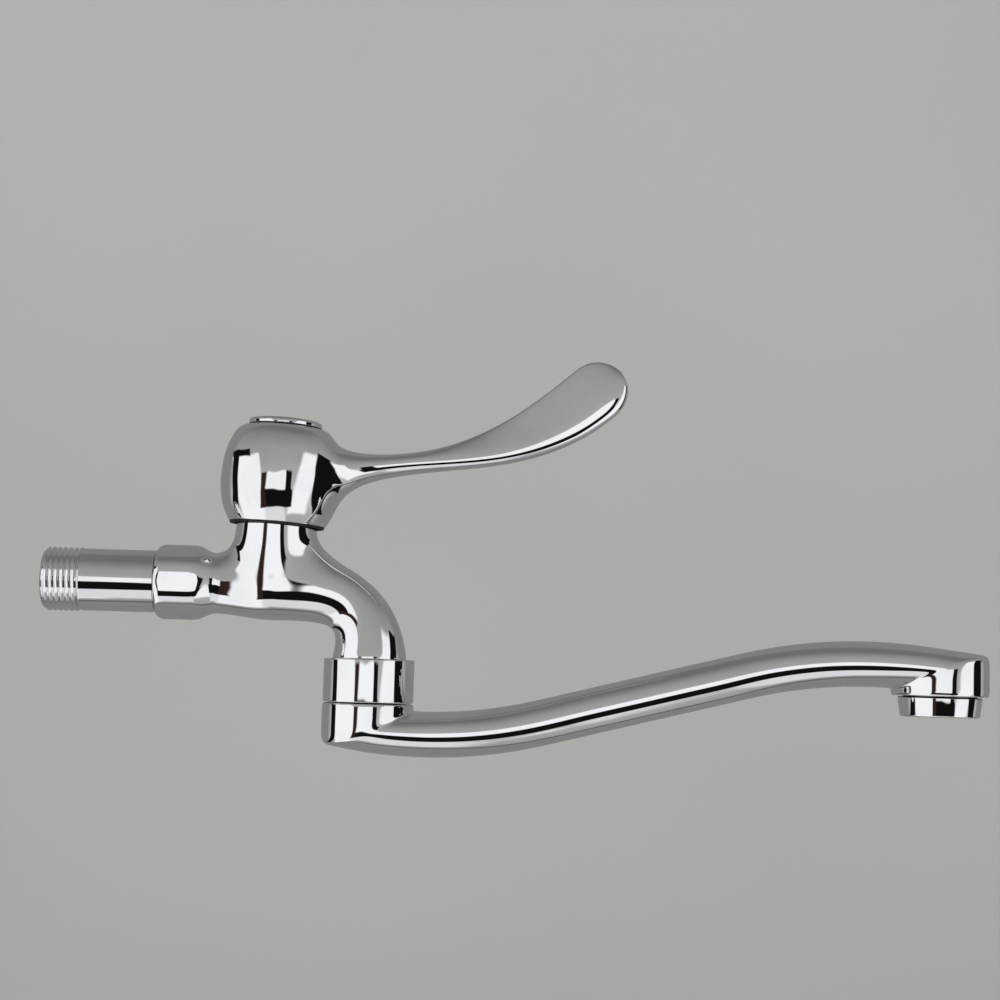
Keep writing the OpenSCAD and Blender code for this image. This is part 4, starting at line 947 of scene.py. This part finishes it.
class Elbow:
    """Corner where an upright stub runs into the tube. The way is 1 where the tube leaves the stub
    with the inner side of the corner above, and -1 where it arrives with that side below."""

    def __init__(self, axis_out, radius, way, corner_power):
        self.axis_out, self.radius = axis_out, radius
        self.way, self.corner_power = way, corner_power
        self.end = axis_out + way * RUN_OUT

    def inner(self, turn):
        """1 at the inner side of the corner, 0 at the outer side."""
        return (1 + self.way * math.cos(turn)) / 2

    def fillet(self, turn):
        return mix(FILLET_OUT, FILLET_IN, self.inner(turn))

    def mitre_out(self, turn):
        return self.axis_out + self.radius * math.cos(turn)

    def upright(self, out):
        return 1 - smooth(self.way * (out - self.axis_out) / RUN_OUT)

    def square(self, out):
        run = self.way * (out - self.axis_out)
        return mix(self.corner_power, 2.0, smooth((run + MITRE_BACK) / (RUN_OUT + MITRE_BACK)))

    def tube_point(self, turn, out):
        if self.inner(turn) <= 0.5:
            return section_place(turn, out, self.square(out), self.upright(out))
        start = self.mitre_out(turn)
        side = share_reaching(self.radius * abs(math.sin(turn)),
                              lambda share: skin_across(share, start, self.upright(start)))
        at_mitre = math.asin(side) if self.way > 0 else math.pi - math.asin(side)
        folded = turn if turn <= math.pi else 2 * math.pi - turn
        angle = mix(at_mitre, folded, smooth((out - start) / (self.end - start)))
        angle = angle if turn <= math.pi else 2 * math.pi - angle
        return section_place(angle, out, upright=self.upright(out))

    def mitre(self, turn):
        return self.tube_point(turn, self.mitre_out(turn))

    def tube_ring(self, turn, share):
        """Rings between the corner (share 0) and the plain tube (share 1)."""
        start = self.mitre_out(turn) + self.way * self.fillet(turn)
        return self.tube_point(turn, mix(start, self.end, share))

    def wall_point(self, turn, radius, z):
        r = radius * swell(SPOUT_SIDES)
        return Vector((SWIVEL_X + self.axis_out + r * math.cos(turn), -r * math.sin(turn), z)) * MM

    def wall_ring(self, turn, rim_z, share):
        """Rings between the corner's fillet (share 0) and the stub's open end (share 1)."""
        corner_z = self.mitre(turn).z / MM
        room = rim_z - corner_z
        near = corner_z + math.copysign(min(self.fillet(turn), FILLET_ROOM * abs(room)), room)
        return self.wall_point(turn, self.radius, mix(near, rim_z, share))


def spout():
    foot = Elbow(0.0, FOOT_R, 1, FOOT_CORNER_POWER)
    boss = Elbow(SPOUT_REACH, BOSS_R, -1, BOSS_CORNER_POWER)
    foot_rim, boss_rim = FOOT_TOP_Z - FOOT_EDGE, BOSS_BOTTOM_Z + BOSS_EDGE_H
    bm = bmesh.new()
    start = first_ring(bm, SPOUT_SIDES, lambda n: foot.wall_point(spot_turn(n), FOOT_R, foot_rim))
    rim = start[:]
    for share in reversed(WALL_SHARES):
        rim = pull(bm, rim, lambda n: foot.wall_ring(spot_turn(n), foot_rim, share))
    rim = pull(bm, rim, lambda n: foot.mitre(spot_turn(n)))
    for share in CORNER_SHARES:
        rim = pull(bm, rim, lambda n: foot.tube_ring(spot_turn(n), share))
    for k in range(1, TUBE_RINGS):
        out = mix(RUN_OUT, SPOUT_REACH - RUN_OUT, k / TUBE_RINGS)
        rim = pull(bm, rim, lambda n: section_place(spot_turn(n), out))
    for share in reversed(CORNER_SHARES):
        rim = pull(bm, rim, lambda n: boss.tube_ring(spot_turn(n), share))
    rim = pull(bm, rim, lambda n: boss.mitre(spot_turn(n)))
    for share in (*WALL_SHARES, 1.0):
        rim = pull(bm, rim, lambda n: boss.wall_ring(spot_turn(n), boss_rim, share))
    bore, bore_top = AERATOR_THREAD_R + BOSS_THREAD_GAP, BOSS_BOTTOM_Z + BOSS_BORE_DEPTH
    run_in(bm, rim, lambda n, radius, z: boss.wall_point(spot_turn(n), radius, z), [
        (BOSS_R - BOSS_EDGE_W, BOSS_BOTTOM_Z, 0.4, PLATED), (bore, BOSS_BOTTOM_Z, 1, INSIDE),
        (bore, bore_top, 1, INSIDE), (BOSS_WAY_R, bore_top, 0, INSIDE)])
    groove_r = SHANK_R - RING_GROOVE_DEPTH
    run_in(bm, start, lambda n, radius, z: foot.wall_point(spot_turn(n), radius, z), [
        (FOOT_R - FOOT_EDGE, FOOT_TOP_Z, 0.4, PLATED), (SHANK_R, FOOT_TOP_Z, 1, INSIDE),
        (SHANK_R, RING_GROOVE_LOW_Z, 1, INSIDE), (groove_r, RING_GROOVE_LOW_Z, 1, INSIDE),
        (groove_r, RING_GROOVE_TOP_Z, 1, INSIDE), (SHANK_R, RING_GROOVE_TOP_Z, 1, INSIDE),
        (SHANK_R, SHANK_TOP_Z, 1, INSIDE), (SHANK_BORE_R, SHANK_TOP_Z, 1, INSIDE),
        (SHANK_BORE_R, FOOT_TOP_Z - FOOT_BORE_DEPTH, 1, INSIDE)])
    show("spout_drawn", bm, "spout", "chrome_casting", "spout", levels=ROUNDING_LEVELS)


swivel_nut()
index_cap()
aerator_collar()
inlet_nipple()
tap_body()
handle()
spout()


# Camera at the photograph's viewing angle, in metres

CAMERA_PLACE, CAMERA_PITCH, CAMERA_ROLL = (0.13709, -0.660, -0.02854), 5.1, 1.7
LENS_MM, SENSOR_MM, CLIP_NEAR, CLIP_FAR = 72.0, 36.0, 0.01, 50.0


def camera():
    pitch, roll = math.radians(CAMERA_PITCH), math.radians(CAMERA_ROLL)
    forward = Vector((0, math.cos(pitch), math.sin(pitch)))
    level_right, level_up = Vector((1, 0, 0)), Vector((0, -math.sin(pitch), math.cos(pitch)))
    right = math.cos(roll) * level_right + math.sin(roll) * level_up
    up = -math.sin(roll) * level_right + math.cos(roll) * level_up
    data = bpy.data.cameras.new("camera")
    data.lens, data.sensor_width = LENS_MM, SENSOR_MM
    data.clip_start, data.clip_end = CLIP_NEAR, CLIP_FAR
    made = bpy.data.objects.new("camera", data)
    turn = Matrix((right, up, -forward)).transposed().to_4x4()
    made.matrix_world = Matrix.Translation(CAMERA_PLACE) @ turn
    scene.collection.objects.link(made)
    scene.camera = made


# Studio: white and dark panels round the camera, a grey surround, a pale floor

WHITE, BLACK = (1.06, 1.07, 1.09), (0.006, 0.006, 0.006)
BROWN, LIGHT = (0.035, 0.018, 0.014), (0.82, 0.83, 0.84)
# Brightness of the studio behind the panels, by height on the mirror ball from -1 to 1
STUDIO = [(-1.0, 0.20), (-0.72, 0.28), (-0.695, 0.16), (-0.66, 0.16), (-0.64, 0.38), (-0.45, 0.46),
          (-0.30, 0.54), (-0.20, 0.64), (0.0, 0.50), (0.14, 0.41), (0.30, 0.37), (0.45, 0.28),
          (0.60, 0.18), (1.0, 0.19)]
STUDIO_WARMTH = 0.985
# Left, right, low and high edge, lean and softness of each panel, then its colour
PANEL_INPUTS = ("Left", "Right", "Low", "High", "Lean", "Soft")
PANELS = [
    (-0.71, -0.27, -0.60, 0.23, 0.28, 0.020, WHITE),
    (0.31, 0.62, -0.42, 0.26, -0.35, 0.030, WHITE),
    (-0.765, -0.665, -0.58, 0.25, 0.0, 0.008, BLACK),
    (-0.70, -0.42, 0.22, 0.29, 0.28, 0.010, BLACK),
    (0.59, 0.75, -0.40, 0.29, 0.0, 0.008, BLACK),
    (-0.20, 0.14, -0.58, -0.25, 0.0, 0.030, LIGHT),
    (-0.18, 0.14, -0.12, 0.07, 0.0, 0.010, WHITE),
    (-0.20, 0.26, -0.315, -0.08, 0.0, 0.012, BLACK),
    (-0.275, -0.19, -0.32, 0.07, 0.0, 0.010, BROWN),
    (0.14, 0.24, -0.10, 0.07, 0.0, 0.010, BLACK),
]
# Beyond the first radius on the mirror ball a reflection shows the grey surround behind the panels,
# and beyond the second it shows nothing else
SURROUND_R, SURROUND_SOFT, SURROUND_ONLY_R, SURROUND_ONLY_SOFT = 0.80, 0.04, 0.94, 0.02
SURROUND_COLOUR, BACKDROP_COLOUR = (0.25, 0.25, 0.245), (0.445, 0.45, 0.432, 1)
# Slow unevenness of the panels' edges: size of its noise and shift to both sides
UNEVEN_SIZE, UNEVEN_SHIFT = 3.0, 0.02


def panel_group():
    """Soft-edged rectangle, as it would show in a mirror ball that faces the viewer."""
    group, given, result = float_group(
        "panel", dict.fromkeys(("Across", "Up", *PANEL_INPUTS), 0.0), ("Mask",))
    leaned = reckon(group, "ShaderNodeMath", "MULTIPLY_ADD", given["Up"], given["Lean"],
                    given["Across"])
    masks = []
    for place, edge, past in ((leaned, "Left", 1.0), (leaned, "Right", 0.0),
                              (given["Up"], "Low", 1.0), (given["Up"], "High", 0.0)):
        before = reckon(group, "ShaderNodeMath", "SUBTRACT", given[edge], given["Soft"])
        after = reckon(group, "ShaderNodeMath", "ADD", given[edge], given["Soft"])
        ramp = node(group, "ShaderNodeMapRange", interpolation_type="SMOOTHSTEP", Value=place,
                    From_Min=before, From_Max=after, To_Min=1.0 - past, To_Max=past)
        masks.append(ramp.outputs["Result"])
    while len(masks) > 1:
        masks.append(reckon(group, "ShaderNodeMath", "MULTIPLY", masks.pop(0), masks.pop(0)))
    feed(group, result["Mask"], masks[0])
    return group


def studio():
    world = bpy.data.worlds.new("studio")
    scene.world = world
    world.use_nodes = True
    tree = world.node_tree
    tree.nodes.clear()
    way = tree.nodes.new("ShaderNodeTexCoord").outputs["Generated"]
    toward = reckon(tree, "ShaderNodeVectorMath", "ADD", way, (0, -1, 0))
    facing = reckon(tree, "ShaderNodeVectorMath", "NORMALIZE", toward)
    uneven = node(tree, "ShaderNodeTexNoise", Vector=way, Scale=UNEVEN_SIZE, Detail=0.0)
    shift = reckon(tree, "ShaderNodeVectorMath", "MULTIPLY_ADD", uneven.outputs["Color"],
                   (2 * UNEVEN_SHIFT, 0, 2 * UNEVEN_SHIFT), (-UNEVEN_SHIFT, 0, -UNEVEN_SHIFT))
    half_way = reckon(tree, "ShaderNodeVectorMath", "ADD", facing, shift)
    parts = node(tree, "ShaderNodeSeparateXYZ", Vector=half_way).outputs
    height = node(tree, "ShaderNodeMapRange", Value=parts["Z"], From_Min=-1.0)
    levels = node(tree, "ShaderNodeValToRGB", Fac=height.outputs["Result"])
    stops = levels.color_ramp.elements
    for k, (at, level) in enumerate(STUDIO):
        stop = stops[k] if k < 2 else stops.new((at + 1) / 2)
        stop.position, stop.color = (at + 1) / 2, (level, level, level * STUDIO_WARMTH, 1)
    flat = reckon(tree, "ShaderNodeVectorMath", "MULTIPLY", half_way, (1, 0, 1))
    outward = node(tree, "ShaderNodeVectorMath", operation="LENGTH")
    feed(tree, outward.inputs[0], flat)

    def beyond(radius, soft):
        """Mask that is 1 outside a circle on the mirror ball."""
        mask = node(tree, "ShaderNodeMapRange", interpolation_type="SMOOTHSTEP",
                    Value=outward.outputs["Value"], From_Min=radius - soft, From_Max=radius + soft)
        return mask.outputs["Result"]

    shade = colour_mix(tree, beyond(SURROUND_R, SURROUND_SOFT), levels.outputs["Color"],
                       SURROUND_COLOUR)
    panel = panel_group()
    for *edges, colour in PANELS:
        mask = node(tree, "ShaderNodeGroup", node_tree=panel, Across=parts["X"], Up=parts["Z"],
                    **dict(zip(PANEL_INPUTS, edges)))
        shade = colour_mix(tree, mask.outputs["Mask"], shade, colour)
    shade = colour_mix(tree, beyond(SURROUND_ONLY_R, SURROUND_ONLY_SOFT), shade, SURROUND_COLOUR)
    mirrored = node(tree, "ShaderNodeBackground", Color=shade)
    backdrop = node(tree, "ShaderNodeBackground", Color=BACKDROP_COLOUR)
    rays = tree.nodes.new("ShaderNodeLightPath")
    seen = tree.nodes.new("ShaderNodeMixShader")
    for socket, value in zip(seen.inputs, (rays.outputs["Is Camera Ray"], mirrored.outputs[0],
                                           backdrop.outputs[0])):
        feed(tree, socket, value)
    node(tree, "ShaderNodeOutputWorld", Surface=seen.outputs[0])


# Floor and wall in metres
FLOOR_LEFT, FLOOR_WIDTH, FLOOR_FRONT, FLOOR_Z = -2.2, 4.7, -2.5, -0.42
WALL_Y, WALL_TOP, SWEEP_R, SWEEP_STEPS = 1.2, 2.2, 0.55, 24
PAPER_DARK, PAPER_LIGHT = (0.445, 0.449, 0.431), (0.505, 0.508, 0.49)


def paper():
    material = bpy.data.materials.new("pale_paper")
    material.use_nodes = True
    tree = material.node_tree
    shader = tree.nodes["Principled BSDF"]
    place = tree.nodes.new("ShaderNodeTexCoord").outputs["Object"]
    cloud = node(tree, "ShaderNodeTexNoise", Vector=place, Scale=1.6, Detail=2.0)
    feed(tree, shader.inputs["Roughness"], 0.9)
    feed(tree, shader.inputs["Specular IOR Level"], 0.1)
    feed(tree, shader.inputs["Base Color"],
         colour_mix(tree, cloud.outputs["Fac"], PAPER_DARK, PAPER_LIGHT))
    return material


def sweep():
    """Pale floor that turns up into a back wall in one curve."""
    bm = bmesh.new()
    verts = [bm.verts.new((FLOOR_LEFT, y, z))
             for y, z in ((FLOOR_FRONT, FLOOR_Z), (WALL_Y, FLOOR_Z), (WALL_Y, WALL_TOP))]
    for pair in zip(verts, verts[1:]):
        bm.edges.new(pair)
    bmesh.ops.bevel(bm, geom=[verts[1]], offset=SWEEP_R, offset_type="OFFSET", segments=SWEEP_STEPS,
                    profile=0.5, affect="VERTICES", material=-1)
    made = bmesh.ops.extrude_edge_only(bm, edges=bm.edges[:])["geom"]
    bmesh.ops.translate(bm, vec=(FLOOR_WIDTH, 0, 0),
                        verts=[g for g in made if isinstance(g, bmesh.types.BMVert)])
    bmesh.ops.recalc_face_normals(bm, faces=bm.faces[:])
    for face in bm.faces:
        face.smooth = True
    mesh = bpy.data.meshes.new("floor")
    bm.to_mesh(mesh)
    bm.free()
    mesh.materials.append(paper())
    floor = bpy.data.objects.new("floor", mesh)
    floor.visible_glossy = False
    scene.collection.objects.link(floor)


LAMP_AIM, LAMP_SIZE = Vector((0.14, 0.0, 0.0)), 1.2


def lamp(name, place, watts):
    """Large soft lamp that points at the middle of the tap."""
    data = bpy.data.lights.new(name, "AREA")
    data.shape, data.size, data.energy = "DISK", LAMP_SIZE, watts
    made = bpy.data.objects.new(name, data)
    made.location = place
    made.rotation_euler = (LAMP_AIM - Vector(place)).to_track_quat("-Z", "Y").to_euler()
    made.visible_glossy = False
    scene.collection.objects.link(made)


camera()
studio()
sweep()
lamp("key_lamp", (-0.6, -1.1, 1.1), 21.0)
lamp("fill_lamp", (1.3, -1.2, 0.5), 14.0)

scene.view_settings.view_transform = "Standard"
